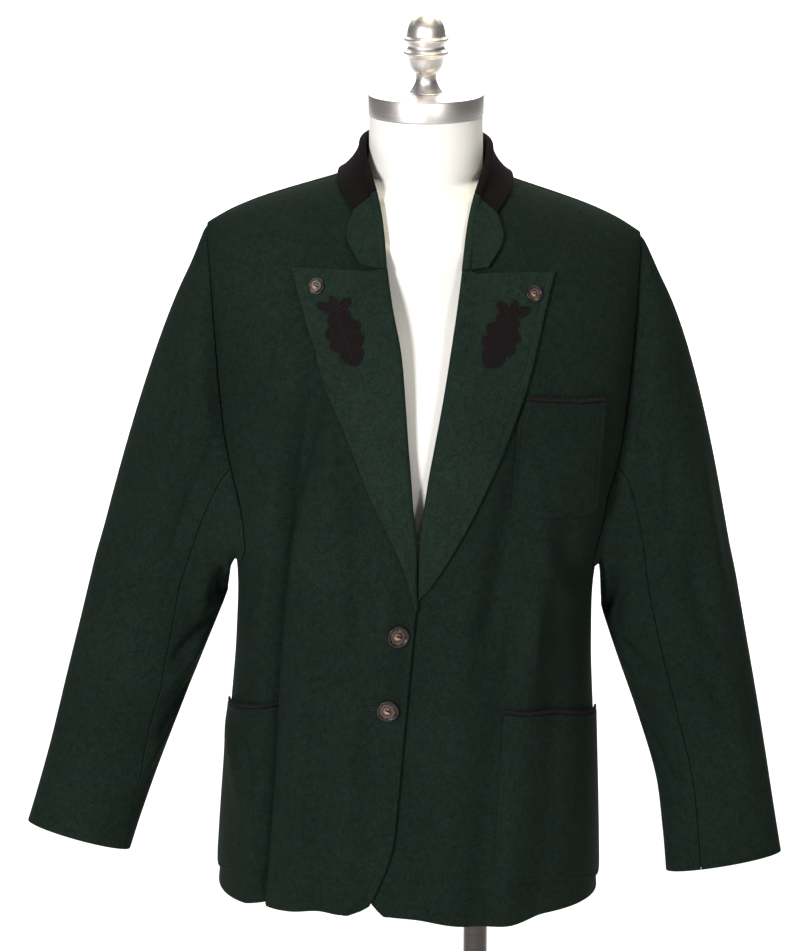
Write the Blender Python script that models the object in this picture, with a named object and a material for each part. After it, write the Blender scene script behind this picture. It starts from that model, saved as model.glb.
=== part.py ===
"""Tyrolean loden jacket, worn on a limbless dress form (Blender 4.5).

Metres, +Z up, the front faces -Y and +X is the wearer's left, which is the
viewer's right.  The origin is the middle of the stand's underside.  Every
panel of cloth is a wall cut from one body surface, body_point(phi, v), and
what lies on a panel is made from the same surface, moved out.
"""
import math

import bmesh
import bpy
import numpy as np

# ---------------------------------------------------------------- cloth
CLOTH = 0.0022            # loden wall
SEAM = 0.0003             # gap between two pieces at a seam
LAY = 0.0007              # gap under a piece that lies on a panel
FELT = 0.0015             # felt of the oak-leaf applique
MM = 0.001

# ---------------------------------------------------------------- body
BUST_Z = 1.150            # rows are level below this, domed above it
SQUARE = 2.4              # squareness of the body's level sections
HANG = math.radians(1.3)  # the jacket hangs a little lower on the left
HANG_Z = 1.420            # height of the point it turns about

# z, half width, front depth, back depth
BODY = (
    (0.600, 0.200, 0.139, 0.142),
    (0.660, 0.195, 0.140, 0.140),
    (0.750, 0.190, 0.143, 0.134),
    (0.850, 0.184, 0.146, 0.124),
    (0.930, 0.179, 0.147, 0.117),
    (1.007, 0.180, 0.146, 0.118),
    (1.060, 0.191, 0.144, 0.122),
    (1.110, 0.200, 0.141, 0.125),
    (1.150, 0.205, 0.139, 0.126),
    (1.190, 0.208, 0.139, 0.126),
)
# angle above the bust line (degrees), half width
YOKE = ((0.0, 0.205), (15.0, 0.209), (35.0, 0.212), (60.0, 0.2125),
        (90.0, 0.2125))
# distance from the middle, height of the shoulder ridge
RIDGE = ((0.000, 1.440), (0.030, 1.426), (0.062, 1.403), (0.085, 1.3935),
         (0.107, 1.3865), (0.136, 1.3775), (0.165, 1.3675), (0.190, 1.3565),
         (0.2125, 1.3435), (0.240, 1.330))
# phi (degrees from the centre front), hem height
HEM = ((-180, 0.655), (-110, 0.656), (-88, 0.658), (-60, 0.662),
       (-42, 0.667), (-20, 0.674), (0, 0.670), (15, 0.663), (25, 0.662),
       (42, 0.668), (60, 0.667), (88, 0.661), (110, 0.656), (180, 0.655))
SIDE_HEM = 0.660          # height that the rows are counted from

# ---------------------------------------------------------------- fronts
BREAK_Z = 1.036           # where the lapels start to turn
GORGE_Z = 1.3205          # where the lapels end and the collar begins
ROLL_IN = 0.004           # a front ends this far outside its roll line
NECK_SEAM_R = 0.0635      # radius of the neck seam round the back
RIDGE_Y = 0.0004          # how far a panel ends from the shoulder ridge
# columns of the back as shares of the way from its middle to its side
BACK_COLUMNS = (0.0, 0.05, 0.10, 0.132, 0.149, 0.158, 0.25, 0.40, 0.55, 0.70,
                0.85, 1.0)
COLLAR_GAP = 0.0018       # the collar's fall stands this far off
TURNED = 0.0026           # lapels and collar: two layers, felted together
TURN_R = 0.0027           # radius of the turn at a roll line
# z, x of the wearer's right front's edge, which lies on top
EDGE_TOP = ((0.674, -0.060), (0.680, -0.044), (0.692, -0.036),
            (0.712, -0.028), (0.740, -0.019), (0.800, -0.013),
            (0.864, -0.009), (0.940, -0.004), (1.000, 0.000), (1.040, 0.002))
# z, x of the left front's edge, which lies below it
EDGE_UNDER = ((0.662, 0.008), (0.667, -0.014), (0.678, -0.032),
              (0.700, -0.043), (0.740, -0.047), (0.864, -0.040),
              (0.960, -0.034), (0.990, -0.026), (1.040, -0.020))
# z, distance of the roll line from the middle
ROLL = ((0.990, 0.0014), (1.036, 0.0014), (1.128, 0.0090), (1.195, 0.0200),
        (1.250, 0.0275), (1.300, 0.0335), (1.322, 0.0360), (1.349, 0.0385),
        (1.372, 0.0420), (1.390, 0.0500), (1.403, 0.0580))
# the lapels' outer edges: share of the way up, x and z of the right one's
# (mirrored), x and z of the left one's
LAPEL = ((0.00, 0.0070, 1.0305, 0.0072, 1.0185),
         (0.12, 0.0190, 1.0680, 0.0370, 1.0640),
         (0.26, 0.0372, 1.1050, 0.0575, 1.1040),
         (0.50, 0.0655, 1.1710, 0.0835, 1.1680),
         (0.74, 0.0925, 1.2360, 0.1035, 1.2300),
         (0.90, 0.1115, 1.2890, 0.1160, 1.2880),
         (1.00, 0.1260, 1.3205, 0.1235, 1.3190))
# the collar from the middle of the back round to the gorge: share of the
# way, x y z of the roll, x y z of the outer edge
COLLAR = (
    (0.00, 0.0000, 0.0640, 1.4325, 0.0000, 0.0870, 1.3735),
    (0.15, 0.0270, 0.0575, 1.4330, 0.0340, 0.0815, 1.3755),
    (0.30, 0.0475, 0.0400, 1.4330, 0.0630, 0.0620, 1.3830),
    (0.42, 0.0580, 0.0160, 1.4315, 0.0790, 0.0340, 1.3945),
    (0.55, 0.0595, -0.0120, 1.4265, 0.0850, 0.0000, 1.3970),
    (0.68, 0.0555, -0.0400, 1.4110, 0.0820, -0.0420, 1.3850),
    (0.78, 0.0470, -0.0650, 1.3915, 0.0675, -0.0660, 1.3715),
    (0.86, 0.0415, -0.0830, 1.3700, 0.0745, -0.0785, 1.3560),
    (0.93, 0.0385, -0.0985, 1.3490, 0.0735, -0.0880, 1.3450),
    (1.00, 0.0360, -0.1145, 1.3255, 0.0605, -0.1030, 1.3275),
)
FELT_END = 0.78           # share of the way where the black felt ends
# degrees covered at the armhole: z, right front, left front, back
ARMHOLE_LOW = ((1.0070, 90.0, 90.0, 90.0), (1.0105, 78.0, 80.0, 79.0),
               (1.0180, 69.0, 73.0, 71.0), (1.0320, 63.5, 70.5, 66.5),
               (1.0600, 60.5, 70.5, 64.5), (1.1050, 63.0, 74.0, 63.5),
               (1.1500, 66.5, 76.0, 63.5))
# the same above the bust line: angle up, right front, left front, back
ARMHOLE_HIGH = ((0.0, 66.5, 76.0, 63.5), (14.0, 68.5, 77.0, 65.0),
                (28.0, 70.5, 78.0, 68.0), (42.0, 73.5, 79.5, 72.0),
                (56.0, 77.5, 82.0, 77.0), (70.0, 82.5, 84.5, 82.5),
                (81.0, 85.0, 85.5, 85.0), (90.0, 86.5, 87.0, 86.5))

# ---------------------------------------------------------------- sleeves
# wearer's right and left: outer x z, inner x z, half depth, middle y
SLEEVE = {
    -1: ((-0.3200, 1.010, -0.1880, 0.966, 0.058, 0.004),
         (-0.3370, 0.936, -0.2080, 0.914, 0.054, 0.002),
         (-0.3510, 0.876, -0.2300, 0.856, 0.049, -0.004),
         (-0.3655, 0.812, -0.2560, 0.786, 0.043, -0.016),
         (-0.3780, 0.764, -0.2730, 0.736, 0.039, -0.027),
         (-0.3885, 0.727, -0.2847, 0.698, 0.037, -0.035)),
    1: ((0.3200, 1.010, 0.1880, 0.958, 0.058, 0.004),
        (0.3370, 0.930, 0.2060, 0.908, 0.054, 0.002),
        (0.3500, 0.868, 0.2295, 0.846, 0.049, -0.004),
        (0.3620, 0.806, 0.2500, 0.784, 0.043, -0.016),
        (0.3715, 0.755, 0.2590, 0.728, 0.039, -0.027),
        (0.3801, 0.711, 0.2637, 0.6866, 0.037, -0.035)),
}
# at the armhole: way out, forward and down, stiffness of the head's curve
CAP_START = {-1: (0.75, 0.35, 0.62, 0.45), 1: (0.86, 0.35, 0.52, 0.54)}
RING_TILT = 0.24                  # how far a cuff's front is cut up
FOREARM_SEAM = {-1: (106, 128, 158), 1: (108, 114, 118)}   # degrees, top to cuff
BACK_SEAM = 238                                            # degrees, all along

# ---------------------------------------------------------------- pockets
POCKET_LAY = 0.0011                        # air under a pocket
TRIM_TALL, TRIM_DEEP = 0.0026, 0.0015      # half sizes of the black cord
# phi (degrees), top of the hip pockets
HIP_TOP = ((15, 0.889), (26, 0.888), (45, 0.880), (70, 0.863), (90, 0.851))
HIP_TALL, HIP_CORNER = 0.176, 0.026
BREAST = dict(inner=0.0925, outer=0.1770, top=1.2030, slope=-0.115,
              bottom=1.0900, corner=0.015)

# ---------------------------------------------------------------- trimmings
# name, x, z, radius, which front, on the lapel
BUTTONS = (("button_upper", -0.0170, 0.9716, 0.0117, -1, False),
           ("button_lower", -0.0250, 0.8955, 0.0117, -1, False),
           ("button_lapel_right", -0.1006, 1.3030, 0.0088, -1, True),
           ("button_lapel_left", 0.1035, 1.3005, 0.0088, 1, True))
# radius share, height (mm) of a button, from its boss to its middle
BUTTON = ((0.32, 0.0), (0.34, 0.8), (0.88, 0.9), (1.00, 2.0), (0.96, 3.4),
          (0.84, 3.9), (0.74, 3.3), (0.20, 4.0))
# name, x, z of its base, length, half width, degrees it leans out from
# straight down, lobes; x is mirrored for the right lapel
LEAVES = (("leaf", 0.0800, 1.2850, 0.0520, 0.0150, -20, 4),
          ("leaflet_inner", 0.0765, 1.2895, 0.0150, 0.0042, -118, 0),
          ("leaflet_middle", 0.0825, 1.2925, 0.0160, 0.0045, 178, 0),
          ("leaflet_outer", 0.0860, 1.2865, 0.0150, 0.0042, 98, 0))

# ---------------------------------------------------------------- dress form
CAP_R, CAP_Z, CAP_TALL = 0.056, 1.475, 0.0205
FORM_GAP = 0.0009         # the shoulders' ridge sits this far under the cloth
FORM_LOOSE = 0.0036       # and the rest of the shoulders this much further
# z, half width, front, back, squareness
FORM = ((0.700, 0.162, 0.104, 0.110, 2.3), (0.712, 0.169, 0.110, 0.116, 2.3),
        (0.770, 0.173, 0.114, 0.120, 2.3), (0.850, 0.166, 0.108, 0.110, 2.3),
        (0.930, 0.150, 0.098, 0.094, 2.2), (1.007, 0.149, 0.107, 0.094, 2.2),
        (1.080, 0.156, 0.121, 0.100, 2.2), (1.150, 0.165, 0.126, 0.104, 2.2),
        (1.220, 0.173, 0.115, 0.106, 2.1), (1.280, 0.180, 0.097, 0.103, 2.0))
# heights where the form follows the inside of the shoulders
FORM_LEVELS = (1.3350, 1.3480, 1.3600, 1.3710, 1.3800, 1.3870)
FORM_NECK = ((1.3925, 0.0572, 0.0545, 0.0565, 2.0),
             (1.4040, 0.0560, 0.0548, 0.0557, 2.0),
             (1.4200, 0.0553, 0.0550, 0.0555, 2.0),
             (1.4540, 0.0550, 0.0550, 0.0550, 2.0))
# radius, height above the cap (mm)
FINIAL = ((15.3, 0.3), (15.5, 1.6), (13.4, 5.0), (10.9, 10.0), (10.0, 14.0),
          (10.3, 18.0), (11.2, 20.3), (13.4, 22.6), (15.7, 27.0),
          (16.8, 32.0), (18.0, 35.6), (21.7, 39.6), (18.6, 43.0),
          (17.4, 46.0), (18.8, 49.0), (21.8, 52.6), (19.0, 56.0),
          (18.3, 60.0), (16.7, 66.0), (13.6, 71.0), (10.4, 74.3),
          (7.2, 76.2), (3.0, 76.8))
POLE_X, POLE_R = 0.053, 0.0123
BASE_R, BASE_TALL, FOOT_R, FOOT_TALL = 0.165, 0.010, 0.026, 0.014

# ---------------------------------------------------------------- folds
# the deep fold of the right front: z, x of its edge, depth, overhang
DEEP_FOLD = ((1.230, -0.092, 0.000, 0.000), (1.160, -0.104, 0.004, 0.000),
             (1.060, -0.118, 0.012, 0.003), (0.930, -0.128, 0.018, 0.007),
             (0.815, -0.131, 0.020, 0.008), (0.640, -0.142, 0.021, 0.008))
FOLD_WIDTH = 0.026
FOLD_COLUMN = 14          # the right front's column just under the fold
UNDERLAP = 0.0048         # the left front's middle lies this far behind
# soft folds: middle x at the top and bottom, top z, bottom z, half width,
# height (+ out, - in); the first list is the front, the second the back
FRONT_FOLDS = (
    (-0.092, -0.104, 1.080, 0.640, 0.016, 0.0040),
    (-0.072, -0.078, 1.080, 0.640, 0.015, -0.0035),
    (-0.050, -0.056, 1.100, 0.640, 0.015, 0.0030),
    (0.074, 0.050, 1.150, 0.640, 0.020, 0.0055),
    (0.100, 0.078, 1.000, 0.740, 0.016, -0.0045),
    (0.128, 0.112, 0.990, 0.760, 0.020, 0.0035),
)
BACK_FOLDS = (
    (-0.120, -0.130, 1.080, 0.640, 0.022, 0.0070),
    (-0.070, -0.075, 1.020, 0.640, 0.022, -0.0060),
    (0.000, 0.004, 1.000, 0.640, 0.026, 0.0050),
    (0.072, 0.078, 1.020, 0.640, 0.022, -0.0060),
    (0.122, 0.132, 1.080, 0.640, 0.022, 0.0070),
)


def blend(x, table, column):
    """A smooth curve through one column of a table, read at x."""
    table = sorted(table)
    xs = np.array([row[0] for row in table], float)
    ys = np.array([row[column] for row in table], float)
    x = np.asarray(x, float)
    slope = np.gradient(ys, xs)
    i = np.clip(np.searchsorted(xs, x) - 1, 0, len(xs) - 2)
    h = xs[i + 1] - xs[i]
    t = np.clip((x - xs[i]) / h, 0.0, 1.0)
    return ((2 * t**3 - 3 * t**2 + 1) * ys[i] + (t**3 - 2 * t**2 + t) * h * slope[i]
            + (3 * t**2 - 2 * t**3) * ys[i + 1] + (t**3 - t**2) * h * slope[i + 1])


def ease(t):
    """0 to 1 with soft ends."""
    t = np.clip(t, 0.0, 1.0)
    return t * t * (3 - 2 * t)


# ================================================================ surface
def section(phi, half_width, front, back):
    """x and y of a level section at phi from the centre front."""
    s, c = np.sin(phi), np.cos(phi)
    depth = np.where(c > 0, front, back)
    x = half_width * np.sign(s) * np.abs(s) ** (2 / SQUARE)
    y = -depth * np.sign(c) * np.abs(c) ** (2 / SQUARE)
    return x, y


def plain_point(phi, v):
    """The body without folds: v is 0 at the hem, 1 at the bust, 2 on the
    shoulder ridge."""
    phi, v = np.broadcast_arrays(np.asarray(phi, float), np.asarray(v, float))
    hem = blend(np.degrees(phi), HEM, 1)
    z_low = hem + (BUST_Z - hem) * np.minimum(v, 1.0)
    x_low, y_low = section(phi, blend(z_low, BODY, 1), blend(z_low, BODY, 2),
                           blend(z_low, BODY, 3))
    t = np.maximum(v - 1.0, 0.0) * math.pi / 2
    front, back = blend(BUST_Z, BODY, 2), blend(BUST_Z, BODY, 3)
    x_top, y_top = section(phi, blend(np.degrees(t), YOKE, 1),
                           front * np.cos(t), back * np.sqrt(1 - np.sin(t)**4))
    z_top = BUST_Z + (blend(np.abs(x_top), RIDGE, 1) - BUST_Z) * np.sin(t)
    top = v > 1.0
    return np.stack([np.where(top, x_top, x_low), np.where(top, y_top, y_low),
                     np.where(top, z_top, z_low)], -1)


def normal_of(surface, phi, v, step=2e-3):
    """Outward normals of a surface by central differences."""
    phi, v = np.broadcast_arrays(np.asarray(phi, float), np.asarray(v, float))
    low, high = np.maximum(v - step, 0.0), np.minimum(v + step, 1.9999)
    along = surface(phi + step, v) - surface(phi - step, v)
    up = surface(phi, high) - surface(phi, low)
    n = np.cross(along, up)
    return n / np.linalg.norm(n, axis=-1, keepdims=True)


def soft_folds(folds, x, z):
    """Height of the soft troughs and ridges at x, z."""
    height = np.zeros_like(x)
    for top_x, low_x, top_z, low_z, width, tall in folds:
        down = np.clip((top_z - z) / (top_z - low_z), 0.0, 1.0)
        middle = top_x + (low_x - top_x) * down
        height = height + tall * ease(down * 2.5) * np.exp(-((x - middle) / width) ** 2)
    return height


def body_point(phi, v):
    """The jacket's outside, with its folds."""
    p = plain_point(phi, v)
    phi = np.broadcast_to(np.asarray(phi, float), p.shape[:-1])
    n = normal_of(plain_point, phi, v)
    x, z = p[..., 0], p[..., 2]
    front = np.cos(phi) > 0
    lift = np.where(front, soft_folds(FRONT_FOLDS, x, z),
                    soft_folds(BACK_FOLDS, x, z))
    # the deep fold: the side lies behind the front and runs under it
    edge, depth, over = (blend(z, DEEP_FOLD, k) for k in (1, 2, 3))
    fold = z < DEEP_FOLD[0][0]
    across = np.stack([-n[..., 1], n[..., 0], np.zeros_like(x)], -1)
    slant = np.maximum(np.abs(n[..., 1]), 0.35)
    s = np.where(front & fold & (x < 0), (x - edge) / slant, 1.0)
    side = ease((0.055 + s + FOLD_WIDTH) / 0.045)
    lift = lift - depth * (1 - ease(s / FOLD_WIDTH + 0.5)) * side
    slide = -over * np.where(np.abs(s) < FOLD_WIDTH / 2,
                             np.sin(2 * math.pi * s / FOLD_WIDTH), 0.0)
    return p + n * lift[..., None] + across * slide[..., None]


def place_of(x, z):
    """phi and v of the point of the plain front at x, z."""
    x, z = np.broadcast_arrays(np.asarray(x, float), np.asarray(z, float))
    ridge = blend(np.abs(x), RIDGE, 1)
    t = np.arcsin(np.clip((z - BUST_Z) / (ridge - BUST_Z), 0.0, 0.9999))
    half = np.where(z > BUST_Z, blend(np.degrees(t), YOKE, 1), blend(z, BODY, 1))
    sine = np.clip(np.abs(x) / half, 0, 0.99999) ** (SQUARE / 2)
    phi = np.sign(x) * np.arcsin(sine)
    hem = blend(np.degrees(phi), HEM, 1)
    v = np.where(z > BUST_Z, 1 + t / (math.pi / 2), (z - hem) / (BUST_Z - hem))
    return phi, np.maximum(v, 0.0)


def left_point(phi, v):
    """The left front: near the middle it passes under the right one."""
    p = body_point(phi, v)
    near = 1 - ease((p[..., 0] - 0.012) / 0.045)
    low = 1 - ease((p[..., 2] - BREAK_Z) / 0.050)
    return p - normal_of(plain_point, phi, v) * (UNDERLAP * near * low)[..., None]


SURFACE = {-1: body_point, 1: left_point}


def over_front(side, x, z, out):
    """A point of one front at x, z, moved out."""
    phi, v = place_of(x, z)
    out = np.asarray(out, float)[..., None]
    surface = SURFACE[side]
    return surface(phi, v) + normal_of(surface, phi, v) * out


def lift(points, gap):
    """Push points off the body until each is a gap outside it."""
    points = np.array(points, float)
    x, y, z = np.moveaxis(points, -1, 0)
    phi, v = place_of(x, z)
    phi = np.where(y < 0, phi, np.sign(x + 1e-9) * (math.pi - np.abs(phi)))
    base, n = body_point(phi, v), normal_of(body_point, phi, v)
    clear = np.sum((points - base) * n, -1)
    return points + n * np.maximum(gap - clear, 0.0)[..., None]


def hang(points, weight=1.0):
    """Turn the garment a little about the neck, as it hangs on the form."""
    x, y, z = np.moveaxis(np.asarray(points, float), -1, 0)
    c, s = math.cos(HANG), math.sin(HANG)
    up = z - HANG_Z
    turned = np.stack([x * c + up * s, y, HANG_Z + up * c - x * s], -1)
    w = np.asarray(weight, float)[..., None]
    return np.asarray(points, float) * (1 - w) + turned * w


# ================================================================ solids
for old in list(bpy.data.objects):
    bpy.data.objects.remove(old)


def material(name, colour, roughness, metallic=0.0):
    """A Principled BSDF of one colour."""
    mat = bpy.data.materials.get(name) or bpy.data.materials.new(name)
    mat.use_nodes = True
    shader = mat.node_tree.nodes["Principled BSDF"]
    shader.inputs["Base Color"].default_value = (*colour, 1.0)
    shader.inputs["Roughness"].default_value = roughness
    shader.inputs["Metallic"].default_value = metallic
    mat.diffuse_color = (*colour, 1.0)
    return mat


LODEN = material("green_loden", (0.016, 0.034, 0.022), 0.95)
BLACK = material("black_felt", (0.010, 0.009, 0.010), 0.95)
HORN = material("stag_horn", (0.36, 0.27, 0.19), 0.45)
COVER = material("form_cover", (0.80, 0.78, 0.75), 0.70)
STEEL = material("satin_steel", (0.62, 0.60, 0.58), 0.30, 1.0)
POLE = material("dark_chrome", (0.16, 0.15, 0.15), 0.20, 1.0)


def solid(name, points, faces, mat):
    """One closed, outward-facing object."""
    mesh = bpy.data.meshes.new(name)
    mesh.from_pydata([tuple(p) for p in points], [], faces)
    work = bmesh.new()
    work.from_mesh(mesh)
    bmesh.ops.remove_doubles(work, verts=work.verts, dist=1e-6)
    bmesh.ops.recalc_face_normals(work, faces=work.faces)
    work.to_mesh(mesh)
    work.free()
    mesh.materials.append(mat)
    obj = bpy.data.objects.new(name, mesh)
    bpy.context.scene.collection.objects.link(obj)
    return obj


def wall(name, outside, inside, mat):
    """A sheet with a thickness, from two equal grids of points."""
    rows, cols = outside.shape[:2]
    n = rows * cols
    at = lambda i, j, k: k * n + i * cols + j
    faces = []
    for i in range(rows - 1):
        for j in range(cols - 1):
            for k in (0, 1):
                faces.append((at(i, j, k), at(i, j + 1, k),
                              at(i + 1, j + 1, k), at(i + 1, j, k)))
    rim = [(0, j) for j in range(cols)] + [(i, cols - 1) for i in range(1, rows)]
    rim += [(rows - 1, j) for j in range(cols - 2, -1, -1)]
    rim += [(i, 0) for i in range(rows - 2, 0, -1)]
    for a, b in zip(rim, rim[1:] + rim[:1]):
        faces.append((at(*a, 0), at(*b, 0), at(*b, 1), at(*a, 1)))
    points = np.concatenate([outside.reshape(-1, 3), inside.reshape(-1, 3)])
    return solid(name, points, faces, mat)


def cloth(name, outside, n, thick, mat):
    """A wall whose outside and outward directions are given."""
    return wall(name, hang(outside), hang(outside - n * thick), mat)


def grid_normals(points):
    """Normals of a grid of points whose columns close into a ring."""
    across = np.roll(points, -1, 1) - np.roll(points, 1, 1)
    n = np.cross(across, np.gradient(points, axis=0))
    return n / np.maximum(np.linalg.norm(n, axis=-1, keepdims=True), 1e-12)


def loft(name, rings, mat):
    """A closed solid through equal rings, with a flat cap at each end."""
    rings = np.asarray(rings)
    count, around = rings.shape[:2]
    faces = [tuple(range(around)), tuple((count - 1) * around + j for j in range(around))]
    for i in range(count - 1):
        for j in range(around):
            k = (j + 1) % around
            faces.append((i * around + j, i * around + k,
                          (i + 1) * around + k, (i + 1) * around + j))
    return solid(name, rings.reshape(-1, 3), faces, mat)


def turned(name, profile, mat, centre, segments=32, axis=None):
    """A lathe solid: profile rows are radius, height along the axis."""
    centre = np.asarray(centre, float)
    up = np.array([0, 0, 1.0]) if axis is None else np.asarray(axis, float)
    up = up / np.linalg.norm(up)
    side = np.cross(up, [0, 1.0, 0] if abs(up[1]) < 0.9 else [0, 0, 1.0])
    side = side / np.linalg.norm(side)
    fore = np.cross(up, side)
    angle = np.arange(segments) * 2 * math.pi / segments
    rings = [centre + up * h + r * (np.cos(angle)[:, None] * side
                                    + np.sin(angle)[:, None] * fore)
             for r, h in profile]
    return loft(name, rings, mat)


# ================================================================ panels
ROWS_LOW = (0.0, 0.020, 0.070, 0.14, 0.23, 0.33, 0.43, 0.53, 0.63)
ROWS_ARM = tuple((row[0] - SIDE_HEM) / (BUST_Z - SIDE_HEM) for row in ARMHOLE_LOW)
ROWS_HIGH = tuple(1 + row[0] / 90 for row in ARMHOLE_HIGH[1:])
ROWS = np.array(ROWS_LOW + ROWS_ARM + ROWS_HIGH)
PART = {"right": 1, "left": 2, "back": 3}      # columns of the armhole tables


def top_v(phi):
    """v where the panels end: at the shoulder seam, and round the neck at
    the back."""
    deep = np.maximum(np.abs(np.cos(phi)) ** (2 / SQUARE), 1e-6)
    x = np.abs(plain_point(phi, 1.9)[..., 0])
    apart = RIDGE_Y + 0.0024 * ease((x - 0.180) / 0.025)
    front = np.arccos(np.clip(apart / (blend(BUST_Z, BODY, 2) * deep), 0, 0.9))
    y = np.sqrt(np.maximum(NECK_SEAM_R**2 - x**2, apart**2))
    share = np.clip(y / (blend(BUST_Z, BODY, 3) * deep), 0, 0.9)
    back = np.arcsin((1 - share**2) ** 0.25)
    return 1 + np.where(np.cos(phi) > 0, front, back) / (math.pi / 2)


def row_v(phi, row):
    """v of a row: parallel to the hem at the bottom, level higher up."""
    hem = blend(np.degrees(phi), HEM, 1)
    z = SIDE_HEM + (BUST_Z - SIDE_HEM) * row
    level = (z - hem) / (BUST_Z - hem)
    keep = ease((z - 0.72) / 0.25)
    return np.where(row < 1, row * (1 - keep) + level * keep,
                    1 + (row - 1) * (top_v(phi) - 1))


def row_z(phi, row):
    return float(plain_point(phi, row_v(phi, row))[..., 2])


def cover(row, part):
    """Radians from the middle to the side seam or the armhole."""
    table = ARMHOLE_HIGH if row > 1 else ARMHOLE_LOW
    at = (row - 1) * 90 if row > 1 else SIDE_HEM + (BUST_Z - SIDE_HEM) * row
    column = PART[part]
    return math.radians(np.interp(at, [r[0] for r in table],
                                  [r[column] for r in table]))


def edge_phi(row, edge):
    """phi where a front ends on a row, from its edge's x at each height."""
    phi = 0.0
    for _ in range(12):
        z = row_z(phi, row)
        phi = float(place_of(edge(z), z)[0])
    return phi


def right_edge(z):
    """x where the right front ends: its edge, then its roll line."""
    turn = ease((z - BREAK_Z + 0.020) / 0.018)
    return (blend(z, EDGE_TOP, 1) * (1 - turn)
            - (blend(z, ROLL, 1) + ROLL_IN) * turn)


def left_edge(z):
    """x where the left front ends; it runs on under the right one."""
    turn = ease((z - BREAK_Z + 0.016) / 0.014)
    return (blend(z, EDGE_UNDER, 1) * (1 - turn)
            + (blend(z, ROLL, 1) + ROLL_IN) * turn)


def step(phi, row, distance):
    """The change in phi that covers a distance along a row."""
    here = body_point(phi, row_v(phi, row))
    there = body_point(phi + 1e-3, row_v(phi + 1e-3, row))
    return distance * 1e-3 / max(np.linalg.norm(there - here), 2e-5)


def fold_places():
    """Places across the deep fold, from its outer to its inner side."""
    half = FOLD_WIDTH / 2
    return [-half - 0.003, *np.linspace(-half, half, 8), half + 0.003]


def front_grid(side):
    """phi and v of a front's grid; side is -1 for the wearer's right."""
    edge, part = (right_edge, "right") if side < 0 else (left_edge, "left")
    phis = []
    for row in ROWS:
        inner = edge_phi(row, edge)
        outer = side * cover(row, part)
        outer -= side * min(step(outer, row, SEAM / 2), 0.004)
        if side < 0:
            z = row_z(inner, row)
            fold = float(place_of(blend(min(z, 1.23), DEEP_FOLD, 1), z)[0])
            near = [fold + step(fold, row, d) for d in fold_places()][::-1]
            phis.append([*np.linspace(inner, near[0], 8)[:-1], *near,
                         *np.linspace(near[-1], outer, 6)[1:]])
        else:
            phis.append(np.linspace(inner, outer, 17))
    phi = np.array(phis)
    return phi, row_v(phi, ROWS[:, None] * np.ones_like(phi))


def back_grid():
    """phi and v of the back's grid, from one side seam to the other."""
    phis = []
    for row in ROWS:
        reach = cover(row, "back")
        reach -= min(step(math.pi - reach, row, SEAM / 2), 0.004)
        share = [*(-s for s in BACK_COLUMNS[:0:-1]), *BACK_COLUMNS]
        phis.append(math.pi + reach * np.array(share))
    phi = np.array(phis)
    phi = np.where(phi > math.pi, phi - 2 * math.pi, phi)
    return phi, row_v(phi, ROWS[:, None] * np.ones_like(phi))


class Sheet:
    """A panel's grid: its angles, outside points and outward directions."""

    def __init__(self, surface, phi, v):
        self.phi, self.points = phi, surface(phi, v)
        self.n = normal_of(surface, phi, v)

    def at(self, row, col):
        """Point and direction at a place between the grid's own points."""
        rows, cols = self.phi.shape
        i = np.clip(np.floor(row).astype(int), 0, rows - 2)
        j = np.clip(np.floor(col).astype(int), 0, cols - 2)
        a, b = (row - i)[..., None], (col - j)[..., None]
        mix = lambda g: ((g[i, j] * (1 - b) + g[i, j + 1] * b) * (1 - a)
                         + (g[i + 1, j] * (1 - b) + g[i + 1, j + 1] * b) * a)
        return mix(self.points), mix(self.n)

    def edge_at(self, z):
        """Point and direction on the first column at a height."""
        heights = self.points[:, 0, 2]
        row = np.interp(z, heights, np.arange(len(heights)))
        return self.at(np.asarray(row), np.zeros(()))


FRONTS = {-1: Sheet(body_point, *front_grid(-1)), 1: Sheet(left_point, *front_grid(1))}
BACK = Sheet(body_point, *back_grid())


def build_body():
    """Two fronts, the left one under the right one, and the back."""
    for name, sheet in (("front_right", FRONTS[-1]), ("front_left", FRONTS[1]),
                        ("back", BACK)):
        cloth(name, sheet.points, sheet.n, CLOTH, LODEN)


# ================================================================ lapels
def unit(vector):
    return vector / np.linalg.norm(vector, axis=-1, keepdims=True)


def roll_turn(edge, out, n):
    """Middle layer of a turn over a front's edge, and its face directions:
    from beside the edge, round towards the middle, to above the front."""
    low = -CLOTH / 2
    points = [edge - out * SEAM + n * low]
    faces = [-n]
    for angle in np.radians([-90, -140, 170, 120, 90]):
        c, s = math.cos(angle), math.sin(angle)
        points.append(edge + out * (TURN_R * (1 + c) + 0.0004 - ROLL_IN)
                      + n * (low + TURN_R * (1 + s)))
        faces.append(out * c + n * s)
    return points, faces


def lapel_height(u):
    """Height of a lapel's middle layer over the front, roll to edge."""
    high, low = 2 * TURN_R - CLOTH / 2, LAY + TURNED / 2
    return high + (low - high) * ease(np.asarray(u, float) * 1.15)


def lapel_edge(side, w):
    first = 1 if side < 0 else 3
    return blend(w, LAPEL, first), blend(w, LAPEL, first + 1)


def lapel_levels(side):
    """Heights of a lapel's rows: the front's own rows and halfway."""
    own = [z for z in FRONTS[side].points[:, 0, 2] if BREAK_Z + 0.008 < z < GORGE_Z - 0.01]
    marks = [BREAK_Z, *own, GORGE_Z]
    return sorted(marks + [(a + b) / 2 for a, b in zip(marks, marks[1:])])


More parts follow.
